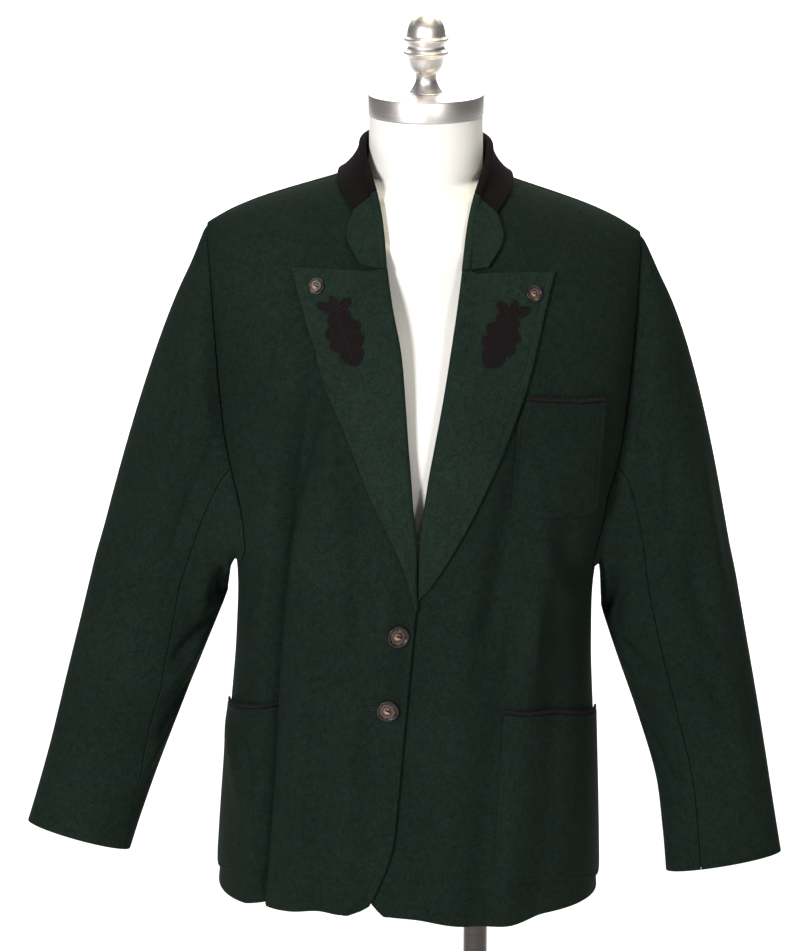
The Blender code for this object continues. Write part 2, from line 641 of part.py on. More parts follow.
def lapel_grid(side, across=6):
    """Middle layer and face directions of a lapel, break to gorge."""
    grid, faces = [], []
    for z0 in lapel_levels(side):
        w = (z0 - BREAK_Z) / (GORGE_Z - BREAK_Z)
        edge, n = FRONTS[side].edge_at(z0)
        out = unit(np.cross(np.array([0, 0, 1.0]), n)) * side
        row, face = roll_turn(edge, out, n)
        x0 = abs(row[-1][0])
        x1, z1 = (float(c) for c in lapel_edge(side, w))
        for u in np.linspace(0, 1, across + 1)[1:]:
            x, z = side * (x0 + (x1 - x0) * u), z0 + (z1 - z0) * u
            row.append(over_front(side, x, z, lapel_height(u)))
            face.append(unit(over_front(side, x, z, 0.01) - over_front(side, x, z, 0.0)))
        grid.append(row)
        faces.append(face)
    return np.array(grid), np.array(faces)


def on_lapel(side, x, z, out=0.0):
    """A point on a lapel's face at x, z, moved out."""
    x, z = np.broadcast_arrays(np.asarray(x, float), np.asarray(z, float))
    heights = [row[2 if side < 0 else 4] for row in LAPEL]
    widths = [row[1 if side < 0 else 3] for row in LAPEL]
    roll = blend(z, ROLL, 1)
    u = (np.abs(x) - roll) / (np.interp(z, heights, widths) - roll)
    return over_front(side, x, z, lapel_height(u) + TURNED / 2 + out)


def build_lapels():
    for side, name in ((-1, "right"), (1, "left")):
        middle, face = lapel_grid(side)
        cloth("lapel_" + name, middle + face * TURNED / 2, face, TURNED, LODEN)


# ================================================================ collar
def neck_seam(q):
    """Point and direction where the collar's stand starts: round the back's
    top edge, then down the front's edge to the gorge."""
    if q <= 0.5:
        cols = np.arange(BACK.phi.shape[1] // 2, -1, -1.0)
        line = BACK.at(np.full_like(cols, len(ROWS) - 1.0), cols)[0]
        x = NECK_SEAM_R * math.sin(q * math.pi)
        col = np.interp(x, line[:, 0], cols)
        return BACK.at(np.array(len(ROWS) - 1.0), np.array(col))
    gorge = FRONTS[1].edge_at(GORGE_Z + 0.0012)[0]
    y = min(0.0, float(blend(q, COLLAR, 2)) * gorge[1] / COLLAR[-1][2])
    line = FRONTS[1].points[::-1, 0]
    row = np.interp(-y, -line[:, 1], np.arange(len(line)))
    return FRONTS[1].at(np.array(len(line) - 1.0 - row), np.zeros(()))


def collar_section(q, fall=5):
    """Middle layer and rough face directions of the collar at q."""
    row = [float(blend(q, COLLAR, k)) for k in range(1, 7)]
    roll, edge = np.array(row[:3]), np.array(row[3:])
    seam, n = neck_seam(q)
    run = neck_seam(min(q + 0.02, 1.0))[0] - neck_seam(max(q - 0.02, 0.0))[0]
    if q == 0:
        run = np.array([1.0, 0, 0])
    way = unit(np.cross(run, n))
    start = seam + way * (3 * SEAM + TURNED / 2) - n * CLOTH * 0.3
    up = unit(roll - start)
    out = edge - roll
    out = unit(out - up * np.dot(out, up))
    r = TURN_R
    centre = roll - up * r + out * r
    foot = centre - out * r
    tall = max(np.dot(foot - start, up), 0.0012)
    start = foot - up * tall
    points = [start, start + up * tall * 0.5]
    faces = [-out, -out]
    for a in np.radians([0, 50, 95, 140, 180]):
        ray = -out * math.cos(a) + up * math.sin(a)
        points.append(centre + ray * r)
        faces.append(ray)
    begin = points[-1]
    pull = begin - up * 0.35 * np.linalg.norm(edge - begin)
    side = np.cross(out, up)
    for t in np.linspace(0, 1, fall + 1)[1:]:
        p = begin * (1 - t) ** 2 + pull * 2 * t * (1 - t) + edge * t * t
        run = (pull - begin) * (1 - t) + (edge - pull) * t
        face = unit(np.cross(run, side))
        faces.append(face * (1 if np.dot(face, out) > 0 else -1))
        points.append(lift(p, TURNED / 2 + COLLAR_GAP))
    return np.array(points), np.array(faces)


def true_faces(middle, rough):
    """Face directions of a sheet's middle layer, on the rough one's side."""
    n = unit(np.cross(np.gradient(middle, axis=0), np.gradient(middle, axis=1)))
    return n * np.sign(np.sum(n * rough, -1, keepdims=True))


def build_collar():
    """Black felt round the back, green loden at each front end."""
    gap = SEAM / 0.165          # share of the way that covers a seam
    felt = np.linspace(0.0, FELT_END - gap / 2, 10)
    green = np.linspace(FELT_END + gap / 2, 1.0, 7)
    half = [collar_section(q) for q in felt]
    middle = np.array([*[p * [-1, 1, 1] for p, _ in half[:0:-1]], *[p for p, _ in half]])
    face = np.array([*[f * [-1, 1, 1] for _, f in half[:0:-1]], *[f for _, f in half]])
    face = true_faces(middle, face)
    cloth("collar_back", middle + face * TURNED / 2, face, TURNED, BLACK)
    end = [collar_section(q) for q in green]
    for side, name in ((-1, "right"), (1, "left")):
        middle = np.array([p for p, _ in end]) * [side, 1, 1]
        face = true_faces(middle, np.array([f for _, f in end]) * [side, 1, 1])
        cloth("collar_front_" + name, middle + face * TURNED / 2, face, TURNED, LODEN)


# ================================================================ sleeves
def armhole(side):
    """Points of one armhole from the shoulder round the front, the underarm
    and up the back, on the outside of the panels' edges."""
    first = len(ROWS_LOW)
    front = FRONTS[side].points[first:, -1][::-1]
    back = BACK.points[first:, 0 if side > 0 else -1]
    under, top = (front[-1] + back[0]) / 2, (front[0] + back[-1]) / 2
    return np.array([top, *front[1:-1], under, *back[1:-1]])


def sleeve_ring(side, s, angle):
    """A ring of the lower sleeve: s is 0 at the armpit, 1 at the cuff."""
    table = [(i / (len(SLEEVE[side]) - 1), *row) for i, row in enumerate(SLEEVE[side])]
    ox, oz, ix, iz, deep, y = (float(blend(s, table, k)) for k in range(1, 7))
    middle = np.array([(ox + ix) / 2, y, (oz + iz) / 2])
    out = np.array([(ox - ix) / 2, 0, (oz - iz) / 2])
    return (middle + np.cos(angle)[:, None] * out
            + np.sin(angle)[:, None] * np.array([0, -deep, deep * RING_TILT * s]))


def sleeve_grid(side, cap=7, low=7):
    """Outside of a sleeve: rings from the armhole to the cuff."""
    ring = armhole(side)
    gaps = np.linalg.norm(ring - np.roll(ring, 1, 0), axis=1)
    half = len(ring) // 2
    angle = np.zeros(len(ring))
    angle[:half + 1] = np.cumsum(np.r_[0, gaps[1:half + 1]])
    angle[:half + 1] *= math.pi / angle[half]
    rest = np.cumsum(gaps[half + 1:])
    angle[half + 1:] = math.pi + rest * math.pi / (rest[-1] + gaps[0])
    out, fore, down, stiff = CAP_START[side]
    top = (1 + np.cos(angle)) / 2
    start = np.stack([side * np.full_like(top, out), -fore * np.sin(angle),
                      -down * top], -1)
    start /= np.linalg.norm(start, axis=1, keepdims=True)
    first = ring + start * SEAM
    last = sleeve_ring(side, 0.0, angle)
    way = sleeve_ring(side, 0.06, angle) - last
    way /= np.linalg.norm(way, axis=1, keepdims=True)
    pull = stiff * np.linalg.norm(last - first, axis=1, keepdims=True)
    grid = []
    for t in np.linspace(0, 1, cap + 1)[:-1]:
        grid.append((2 * t**3 - 3 * t**2 + 1) * first
                    + (t**3 - 2 * t**2 + t) * pull * start
                    + (3 * t**2 - 2 * t**3) * last + (t**3 - t**2) * pull * way)
    for s in np.linspace(0, 1, low + 1):
        grid.append(sleeve_ring(side, s, seam_turn(side, s, angle)))
    return np.array(grid), angle


def seam_turn(side, s, angle):
    """Angles of a ring whose forearm seam wanders on its way down."""
    seam = np.radians(np.interp(s, (0, 0.5, 1), FOREARM_SEAM[side]))
    start = math.radians(FOREARM_SEAM[side][0])
    back = math.radians(BACK_SEAM)
    return np.interp(angle, (0, start, back, 2 * math.pi),
                     (0, seam, back, 2 * math.pi))


def build_sleeves():
    """An upper and an under sleeve on each side."""
    for side, name in ((-1, "right"), (1, "left")):
        grid, angle = sleeve_grid(side)
        n = grid_normals(grid)
        n *= np.sign(np.sum(n * (grid - grid.mean(1, keepdims=True)), -1).mean())
        inner = grid - n * CLOTH
        a = int(np.argmin(abs(angle - math.radians(FOREARM_SEAM[side][0]))))
        b = int(np.argmin(abs(angle - math.radians(BACK_SEAM))))
        around = len(angle)
        pieces = (("under", list(range(a, b + 1))),
                  ("upper", [*range(b, around), *range(0, a + 1)]))
        for piece, cols in pieces:
            outside, inside = grid[:, cols].copy(), inner[:, cols].copy()
            for grids in (outside, inside):
                for end, near in ((0, 1), (-1, -2)):
                    way = grids[:, near] - grids[:, end]
                    far = np.linalg.norm(way, axis=1, keepdims=True)
                    grids[:, end] += way / far * np.minimum(SEAM / 2, far * 0.3)
            wall(f"sleeve_{name}_{piece}", hang(outside), hang(inside), LODEN)


# ================================================================ pockets
def hip_top(phi):
    """Height of a hip pocket's top edge."""
    return blend(np.abs(np.degrees(phi)), HIP_TOP, 1)


def column_at(sheet, side, phi, z):
    """The column of a front's grid, with fractions, at phi and a height."""
    rows, cols = sheet.phi.shape
    col = cols / 2
    for _ in range(3):
        tall = sheet.at(np.arange(rows - 1.0), np.full(rows - 1, float(col)))[0][:, 2]
        row = np.interp(z, tall, np.arange(rows - 1.0))
        i = int(min(row, rows - 2))
        line = side * (sheet.phi[i] * (1 - row + i) + sheet.phi[i + 1] * (row - i))
        col = np.interp(phi, line, np.arange(cols))
    return float(col)


def patch(sheet, inner, outer, bottom, top, corner, rows, soft=1.0):
    """A pocket's place as rows and columns of its panel's grid, so that it
    is made from the panel's own points. inner and outer give a column at a
    height, bottom and top a height at phi; the bottom's corners are round."""
    z = (bottom(0.9) + top(0.9)) / 2
    a, b = inner(z), outer(z)
    row = np.array(len(ROWS_LOW) - 2.0)
    pitch = [np.linalg.norm(sheet.at(row, np.array(c + 1.0))[0]
                            - sheet.at(row, np.array(c))[0]) for c in (a, b - 1)]
    near = [a + d / pitch[0] for d in (0.0, 0.2 * corner, 0.55 * corner)]
    far = [b - d / pitch[1] for d in (0.0, 0.2 * corner, 0.55 * corner)]
    marks = (near if soft else near[:1]) + far
    own = [c for c in range(len(sheet.phi[0]))
           if a < c < b and min(abs(c - m) for m in marks) > 0.2]
    columns = sorted(marks + own)
    place = np.zeros((2, rows, len(columns)))
    for j, col in enumerate(columns):
        u = (col - a) / (b - a)
        phi = abs(np.interp(col, np.arange(sheet.phi.shape[1]), sheet.phi[int(row)]))
        low, high = bottom(phi), top(phi)
        for way, on in (((col - a) * pitch[0], soft), ((b - col) * pitch[1], 1.0)):
            down = min(max(corner - way, 0.0), corner)
            low += on * (corner - math.sqrt(corner**2 - down**2))
        for i, z in enumerate(np.linspace(low, high, rows)):
            left, right = inner(z), outer(z)
            at = left + (right - left) * u
            tall = sheet.at(np.arange(len(ROWS) - 1.0), np.full(len(ROWS) - 1, at))[0]
            place[:, i, j] = np.interp(z, tall[:, 2], np.arange(len(ROWS) - 1.0)), at
    return place


def hip_patch(side):
    """A hip pocket; the right one runs under the deep fold."""
    sheet = FRONTS[side]
    bottom = lambda phi: float(hip_top(phi)) - HIP_TALL
    top = lambda phi: float(hip_top(phi))
    outer = lambda z: column_at(sheet, side, math.radians(86.5), z)
    if side < 0:
        return patch(sheet, lambda z: FOLD_COLUMN, outer, bottom, top,
                     HIP_CORNER, 7, 0.0)
    lean = lambda z: math.radians(25.3 - 3.7 * (0.888 - z) / HIP_TALL)
    return patch(sheet, lambda z: column_at(sheet, side, lean(z), z),
                 outer, bottom, top, HIP_CORNER, 9)


def breast_patch():
    """The breast pocket; its inner top corner meets the lapel's edge."""
    b, sheet = BREAST, FRONTS[1]
    heights, widths = [row[4] for row in LAPEL], [row[3] for row in LAPEL]

    def column(x, z):
        return column_at(sheet, 1, float(place_of(x, z)[0]), z)

    def inner(z):
        beside = float(np.interp(z + 0.010, heights, widths)) + 0.0016
        return column(max(b["inner"] + 0.02 * (z - 1.2), beside), z)

    outer = lambda z: column(b["outer"] + 0.03 * (z - 1.2), z)
    slope = lambda phi: b["slope"] * (float(plain_point(phi, 1.0)[0]) - b["inner"])
    return patch(sheet, inner, outer, lambda phi: b["bottom"] + slope(phi),
                 lambda phi: b["top"] + slope(phi), b["corner"], 6)


def cord(name, sheet, row, col):
    """The black trim: a flat cord along a pocket's top edge."""
    along, n = sheet.at(row, col)
    above = sheet.at(row + 0.1, col)[0]
    up = unit(above - along)
    middle = along + up * (TRIM_TALL + SEAM) + n * (TRIM_DEEP + LAY)
    rings = [[middle[i] + up[i] * TRIM_TALL * math.sin(a) + n[i] * TRIM_DEEP * math.cos(a)
              for a in np.arange(8) * math.pi / 4] for i in range(len(along))]
    return loft(name, hang(np.array(rings)), BLACK)


def build_pockets():
    for name, side, place in (("hip_pocket_right", -1, hip_patch(-1)),
                              ("hip_pocket_left", 1, hip_patch(1)),
                              ("breast_pocket", 1, breast_patch())):
        points, n = FRONTS[side].at(*place)
        cloth(name, points + n * (POCKET_LAY + CLOTH), n, CLOTH, LODEN)
        cord(name + "_trim", FRONTS[side], place[0][-1], place[1][-1])


# ================================================================ trimmings
def build_buttons():
    for name, x, z, radius, side, on in BUTTONS:
        place = (lambda a, b, c: on_lapel(side, a, b, c)) if on else (
            lambda a, b, c: over_front(side, a, b, c))
        seat = hang(place(x, z, 0.0))
        axis = hang(place(x, z, 0.01)) - seat
        axis /= np.linalg.norm(axis)
        profile = [(radius * r, h * MM * radius / 0.0117) for r, h in BUTTON]
        turned(name, profile, HORN, seat + axis * SEAM * 1.6, 18, axis)


def leaf_half_width(t, lobes):
    """Half width of a leaf along its length, 0 at the base, 1 at the tip."""
    body = np.sin(math.pi * np.clip(t, 0.0, 1.0) ** 0.85) ** 0.65
    wave = 1 + (0.24 * np.cos(2 * math.pi * (lobes * t - 0.45)) if lobes else 0.0)
    return np.maximum(body * wave / (1.24 if lobes else 1.0), 0.10)


def build_leaves():
    """Black felt oak leaves on the lapels, each with three small leaves."""
    for side, word in ((-1, "right"), (1, "left")):
        for name, x, z, length, half, lean, lobes in LEAVES:
            rows = 21 if lobes else 6
            t = np.linspace(0, 1, rows)[:, None]
            across = np.linspace(-1, 1, 3)[None] * half * leaf_half_width(t, lobes)
            a = math.radians(lean)
            down = t * length
            px = x + math.sin(a) * down + math.cos(a) * across
            pz = z - math.cos(a) * down + math.sin(a) * across
            lower = on_lapel(side, side * px, pz, SEAM)
            upper = on_lapel(side, side * px, pz, SEAM + FELT)
            wall(f"applique_{word}_{name}", hang(upper), hang(lower), BLACK)


# ================================================================ dress form
def form_ring(z, half, front, back, square, count=24):
    """A level ring of the form."""
    phi = np.arange(count) * 2 * math.pi / count
    s, c = np.sin(phi), np.cos(phi)
    x = half * np.sign(s) * np.abs(s) ** (2 / square)
    y = -np.where(c > 0, front, back) * np.sign(c) * np.abs(c) ** (2 / square)
    return np.stack([x, y, np.full(count, z)], -1)


def shoulder_ring(z, count=24):
    """A ring of the form just under the cloth of the shoulders."""
    widths = [row[0] for row in RIDGE]
    reach = min(np.interp(-z, [-row[1] for row in RIDGE], widths), 0.188)
    angle = np.arange(count) * 2 * math.pi / count
    x = np.sign(np.sin(angle)) * np.abs(np.sin(angle)) ** 0.85 * reach
    phi, v = place_of(x, np.full(count, z))
    phi = np.where(np.cos(angle) < -1e-9, math.pi - phi, phi)
    n = normal_of(plain_point, phi, v)
    loose = FORM_LOOSE * (1 - np.abs(x / reach) ** 6)
    return plain_point(phi, v) - n * (CLOTH + FORM_GAP + loose)[:, None]


def build_form():
    """Torso and neck in one, neck cap, finial, pole and base."""
    rows = list(FORM)
    rings = [form_ring(*row) for row in rows]
    rings += [shoulder_ring(z) for z in FORM_LEVELS]
    rings = np.array(rings + [form_ring(*row) for row in FORM_NECK])
    z = rings[..., 2]
    weight = ease((1.425 - z) / 0.022) * ease((z - 0.72) / 0.20)
    loft("form_torso", hang(rings, weight), COVER)
    turned("neck_cap", [(CAP_R - 0.0006, -CAP_TALL), (CAP_R, -CAP_TALL + 0.0006),
                        (CAP_R, -0.0006), (CAP_R - 0.0006, 0.0)],
           STEEL, (0, 0, CAP_Z), 36)
    turned("finial", [(r * MM, h * MM) for r, h in FINIAL], STEEL, (0, 0, CAP_Z), 16)
    top = FORM[0][0] - SEAM
    foot = BASE_TALL + FOOT_TALL
    turned("pole", [(POLE_R, foot + SEAM), (POLE_R, top)], POLE, (POLE_X, 0, 0), 20)
    turned("base", [(BASE_R - 0.001, 0.0), (BASE_R, 0.001),
                    (BASE_R, BASE_TALL - 0.002), (BASE_R - 0.002, BASE_TALL),
                    ], STEEL, (0, 0, 0), 40)
    turned("pole_foot", [(FOOT_R, BASE_TALL + SEAM), (FOOT_R, foot - 0.003),
                         (FOOT_R - 0.006, foot)], POLE, (POLE_X, 0, 0), 24)


def main():
    build_body()
    build_lapels()
    build_collar()
    build_sleeves()
    build_pockets()
    build_buttons()
    build_leaves()
    build_form()


main()
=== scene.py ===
"""Looks of the tyrolean loden jacket on its dress form (Blender 4.5).

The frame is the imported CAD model, in metres: +Z up, the front faces -Y, +X is
the wearer's left.  The jacket's body surface, edges, collar, sleeves and
pockets repeat the sizes of part.py and are rebuilt here as thin cloth with
soft creases, rounded edges, stitching and a felted nap.
"""
import math

import bmesh
import bpy
import numpy as np
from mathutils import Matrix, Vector


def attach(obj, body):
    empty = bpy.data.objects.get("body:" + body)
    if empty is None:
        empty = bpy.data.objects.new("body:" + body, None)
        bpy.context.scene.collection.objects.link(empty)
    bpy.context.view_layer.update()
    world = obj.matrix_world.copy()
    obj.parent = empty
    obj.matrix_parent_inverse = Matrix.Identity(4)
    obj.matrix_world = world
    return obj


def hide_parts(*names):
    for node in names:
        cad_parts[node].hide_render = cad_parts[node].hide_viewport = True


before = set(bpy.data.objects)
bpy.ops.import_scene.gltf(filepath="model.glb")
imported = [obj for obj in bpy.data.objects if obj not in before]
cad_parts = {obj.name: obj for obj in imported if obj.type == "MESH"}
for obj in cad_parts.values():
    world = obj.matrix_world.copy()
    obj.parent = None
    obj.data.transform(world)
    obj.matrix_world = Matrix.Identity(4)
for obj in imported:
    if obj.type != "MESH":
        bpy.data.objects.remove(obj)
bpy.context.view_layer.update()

# ---------------------------------------------------------------- cloth
CLOTH = 0.0022            # loden
TURNED = 0.0026           # lapels and collar: two layers
FELT = 0.0015             # felt of the oak leaves
SEAM = 0.0003             # gap between two pieces at a seam
LAY = 0.0007              # air under a lapel
POCKET_LAY = 0.0014       # air under a pocket
MM = 0.001
SIDES = ((-1, "right"), (1, "left"))      # the wearer's; -1 is towards -X
PROBE = 0.01              # how far out a second point shows a direction

# ---------------------------------------------------------------- body
BUST_Z = 1.150            # rows are level below this, domed above it
SQUARE = 2.4              # squareness of the body's level sections
HANG = math.radians(1.3)  # the jacket hangs a little lower on the left
HANG_Z = 1.420            # height of the point it turns about
# z, half width, front depth, back depth
BODY = (
    (0.600, 0.200, 0.139, 0.142),
    (0.660, 0.195, 0.140, 0.140),
    (0.750, 0.190, 0.143, 0.134),
    (0.850, 0.184, 0.146, 0.124),
    (0.930, 0.179, 0.147, 0.117),
    (1.007, 0.180, 0.146, 0.118),
    (1.060, 0.191, 0.144, 0.122),
    (1.110, 0.200, 0.141, 0.125),
    (1.150, 0.205, 0.139, 0.126),
    (1.190, 0.208, 0.139, 0.126),
)
# angle above the bust line (degrees), half width
YOKE = ((0.0, 0.205), (15.0, 0.209), (35.0, 0.212), (60.0, 0.2125),
        (90.0, 0.2125))
# distance from the middle, height of the shoulder ridge
RIDGE = ((0.000, 1.440), (0.030, 1.426), (0.062, 1.403), (0.085, 1.3935),
         (0.107, 1.3865), (0.136, 1.3775), (0.165, 1.3675), (0.190, 1.3565),
         (0.2125, 1.3435), (0.240, 1.330))
# phi (degrees from the centre front), hem height
HEM = ((-180, 0.655), (-110, 0.656), (-88, 0.658), (-60, 0.662),
       (-42, 0.667), (-20, 0.674), (0, 0.670), (15, 0.663), (25, 0.662),
       (42, 0.668), (60, 0.667), (88, 0.661), (110, 0.656), (180, 0.655))
SIDE_HEM = 0.660          # height that the rows are counted from

# ---------------------------------------------------------------- edges
BREAK_Z = 0.997           # where the lapels start to turn
FULL_Z = 1.036            # where their turn has its full radius
GORGE_Z = 1.3205          # where the lapels end and the collar begins
GORGE_GAP = 0.0012        # the collar starts this far above
NECK_SEAM_R = 0.0635      # radius of the neck seam round the back
RIDGE_Y = 0.0004          # how far a panel ends from the shoulder ridge
RIDGE_OPEN = 0.0024       # and how much further beside the sleeve
COLLAR_GAP = 0.0030       # the collar's fall stands this far off
TURN_R = 0.0027           # radius of the turn at a roll line
TURN_START = 0.0011       # and at the break, where it grows out of the edge
TURN_STEPS, TURN_IN = 13, 0.0009          # its middle is this far inside the edge
ROLL_OVER = 0.0013        # a front ends this far past its lapel's turn
LAPEL_ROWS, LAPEL_COLS = 132, 34
LAPEL_THIN = 0.0012       # a lapel's thickness at the break
LAPEL_OFF = 0.0014        # more air under a lapel above the break
LAPEL_SWELL = 0.0016      # height of its soft middle
LAPEL_RISE = 0.0036       # its roll line runs on this far above the gorge
RISE_WIDE = 0.0055        # and this far out of the roll line
OFF_TALL, THIN_TALL = 0.06, 0.025  # the air and the thickness grow over this
SWELL_TOP, SWELL_TALL, SWELL_LOW = 1.20, 0.12, 0.05  # where the soft middle ends
LAPEL_DENT = 1.2          # dent of its stitching against the front's
STAND_STEPS, COLLAR_TURN_STEPS, COLLAR_SMOOTH = 8, 15, 36
COLLAR_COLS, COLLAR_FRONT_COLS = 64, 34
COLLAR_PULL = 0.35        # how far the turn's direction carries into the fall
STAND_LOW = 0.0012        # the stand is at least this tall
STAND_IN = 0.3            # shares of the cloth from its outside to the stand
COLLAR_LOOK = 0.02        # the seam's direction is read this far both ways
NECK_SIDE = 0.5           # share of the way where the back's neck line ends
# shares of the way down the fall: closer together at its edge
FALL = np.concatenate([np.linspace(0, 0.80, 18), np.linspace(0.83, 1.0, 9)])
COLLAR_RUN = 0.165        # half the collar's length
# z, x of the wearer's right front's edge, which lies on top
EDGE_TOP = ((0.674, -0.060), (0.680, -0.044), (0.692, -0.036),
            (0.712, -0.028), (0.740, -0.019), (0.800, -0.013),
            (0.864, -0.009), (0.940, -0.004), (1.000, 0.000), (1.040, 0.002))
# z, x of the left front's edge, which lies below it
EDGE_UNDER = ((0.662, 0.008), (0.667, -0.014), (0.678, -0.032),
              (0.700, -0.043), (0.740, -0.047), (0.864, -0.040),
              (0.960, -0.034), (0.990, -0.026), (1.040, -0.020))
# z, distance of the roll lines from the middle: the right one, the left one
ROLL = ((0.980, -0.0020, -0.0060), (0.997, -0.0016, -0.0050),
        (1.006, -0.0006, -0.0012), (1.020, 0.0006, 0.0008),
        (1.045, 0.0012, 0.0014), (1.062, 0.0016, 0.0020),
        (1.072, 0.0026, 0.0028), (1.100, 0.0062, 0.0060),
        (1.128, 0.0088, 0.0095), (1.157, 0.0118, 0.0140),
        (1.195, 0.0152, 0.0200), (1.250, 0.0212, 0.0275),
        (1.290, 0.0298, 0.0325), (1.322, 0.0350, 0.0360),
        (1.349, 0.0385, 0.0385), (1.372, 0.0420, 0.0420),
        (1.390, 0.0500, 0.0500), (1.403, 0.0580, 0.0580))
# the lapels' outer edges: share of the way up, x and z of the right one's
# (mirrored), x and z of the left one's
LAPEL = ((0.000, 0.0010, 0.9985, -0.0030, 0.9985),
         (0.035, 0.0034, 1.0060, 0.0016, 1.0062),
         (0.080, 0.0070, 1.0205, 0.0120, 1.0180),
         (0.130, 0.0130, 1.0380, 0.0240, 1.0360),
         (0.220, 0.0262, 1.0680, 0.0385, 1.0640),
         (0.345, 0.0442, 1.1050, 0.0578, 1.1040),
         (0.555, 0.0722, 1.1710, 0.0832, 1.1680),
         (0.770, 0.0985, 1.2360, 0.1030, 1.2300),
         (0.915, 0.1160, 1.2890, 0.1155, 1.2880),
         (1.000, 0.1255, 1.3180, 0.1235, 1.3190))
# the collar from the middle of the back round to the gorge: share of the
# way, x y z of the roll, x y z of the outer edge
COLLAR = (
    (0.00, 0.0000, 0.0640, 1.4325, 0.0000, 0.0870, 1.3735),
    (0.15, 0.0270, 0.0575, 1.4330, 0.0340, 0.0815, 1.3755),
    (0.30, 0.0475, 0.0400, 1.4330, 0.0630, 0.0620, 1.3830),
    (0.42, 0.0580, 0.0160, 1.4315, 0.0790, 0.0340, 1.3945),
    (0.55, 0.0595, -0.0120, 1.4265, 0.0850, 0.0000, 1.3970),
    (0.68, 0.0555, -0.0400, 1.4110, 0.0820, -0.0420, 1.3850),
    (0.78, 0.0470, -0.0650, 1.3915, 0.0675, -0.0660, 1.3715),
    (0.86, 0.0415, -0.0830, 1.3700, 0.0745, -0.0785, 1.3560),
    (0.93, 0.0385, -0.0985, 1.3490, 0.0735, -0.0880, 1.3450),
    (1.00, 0.0360, -0.1145, 1.3255, 0.0605, -0.1030, 1.3275),
)
FELT_END = 0.78           # share of the way where the black felt ends
UNDERARM_Z = 1.0070
# degrees covered at the armhole: z, right front, left front, back
ARMHOLE_LOW = ((1.0070, 90.0, 90.0, 90.0), (1.0105, 78.0, 80.0, 79.0),
               (1.0180, 69.0, 73.0, 71.0), (1.0320, 63.5, 70.5, 66.5),
               (1.0600, 60.5, 70.5, 64.5), (1.1050, 63.0, 74.0, 63.5),
               (1.1500, 66.5, 76.0, 63.5))
# the same above the bust line: angle up, right front, left front, back
ARMHOLE_HIGH = ((0.0, 66.5, 76.0, 63.5), (14.0, 68.5, 77.0, 65.0),
                (28.0, 70.5, 78.0, 68.0), (42.0, 73.5, 79.5, 72.0),
                (56.0, 77.5, 82.0, 77.0), (70.0, 82.5, 84.5, 82.5),
                (81.0, 85.0, 85.5, 85.0), (90.0, 86.5, 87.0, 86.5))
PART = {"right": 1, "left": 2, "back": 3}      # columns of the armhole tables

# ---------------------------------------------------------------- sleeves
# wearer's right and left: outer x z, inner x z, half depth, middle y
SLEEVE = {
    -1: ((-0.3200, 1.010, -0.1880, 0.966, 0.058, 0.004),
         (-0.3370, 0.936, -0.2080, 0.914, 0.054, 0.002),
         (-0.3510, 0.876, -0.2300, 0.856, 0.049, -0.004),
         (-0.3655, 0.812, -0.2560, 0.786, 0.043, -0.016),
         (-0.3780, 0.764, -0.2730, 0.736, 0.039, -0.027),
         (-0.3885, 0.727, -0.2847, 0.698, 0.037, -0.035)),
    1: ((0.3200, 1.010, 0.1880, 0.958, 0.058, 0.004),
        (0.3370, 0.930, 0.2060, 0.908, 0.054, 0.002),
        (0.3500, 0.868, 0.2295, 0.846, 0.049, -0.004),
        (0.3620, 0.806, 0.2500, 0.784, 0.043, -0.016),
        (0.3715, 0.755, 0.2590, 0.728, 0.039, -0.027),
        (0.3801, 0.711, 0.2637, 0.6866, 0.037, -0.035)),
}
# at the armhole: way out, forward and down, stiffness of the head's curve
CAP_START = {-1: (0.75, 0.35, 0.62, 0.45), 1: (0.86, 0.35, 0.52, 0.54)}
HEAD_FULL = 0.017         # the sleeve head stands this far round its seam
RING_TILT = 0.24          # how far a cuff's front is cut up
FOREARM_SEAM = {-1: (106, 128, 158), 1: (108, 114, 118)}   # degrees, top to cuff
BACK_SEAM = 238           # degrees, all along
RING_POINTS, CAP_RINGS, LOW_RINGS = 128, 40, 84
CAP_SMOOTH = 34           # smoothing passes over the rings of the head
SMOOTH_ON, SMOOTH_PAST, SMOOTH_OFF = 7, 4, 10  # they come in, end and go out
HEAD_ON, HEAD_OFF = 7, 26  # rings over which the head's fullness comes and goes
CAP_LOOK = 0.06           # the sleeve's direction is read this far down
SLEEVE_DEGREE = 0.0011    # length of one degree round a sleeve
TAPE, TAPE_GAP = 0.0009, 0.0006           # a seam's allowance, its gap
SHOULDER_TAPE = np.linspace(0.066, 0.187, 48)

# ---------------------------------------------------------------- pockets
TRIM_TALL, TRIM_DEEP = 0.0026, 0.0015     # half sizes of the black cord
CORD_STEP, CORD_TWIST = 0.00055, 0.0088   # between its rings, one full twist
# a strand's path and its own half size, in shares of the cord's: tall, deep
STRAND_PATH, STRAND_SIZE = (0.48, 0.42), (0.50, 0.56)
POCKET_CELL = 0.004       # between the lines of a pocket's grid
TUCK = 0.0093             # the hip pocket runs this far in under the deep fold
# phi (degrees), top of the hip pockets
HIP_TOP = ((15, 0.889), (26, 0.888), (45, 0.880), (70, 0.863), (90, 0.851))
HIP_TALL, HIP_CORNER = 0.176, 0.026
HIP_OUTER = math.radians(86.5)            # where a hip pocket ends at the side
HIP_INNER, HIP_LEAN, LEAN_Z = 25.3, 3.7, 0.888  # its inner side leans: degrees
BREAST = dict(inner=0.0925, outer=0.1770, top=1.2030, slope=-0.115,
              bottom=1.0900, corner=0.015)

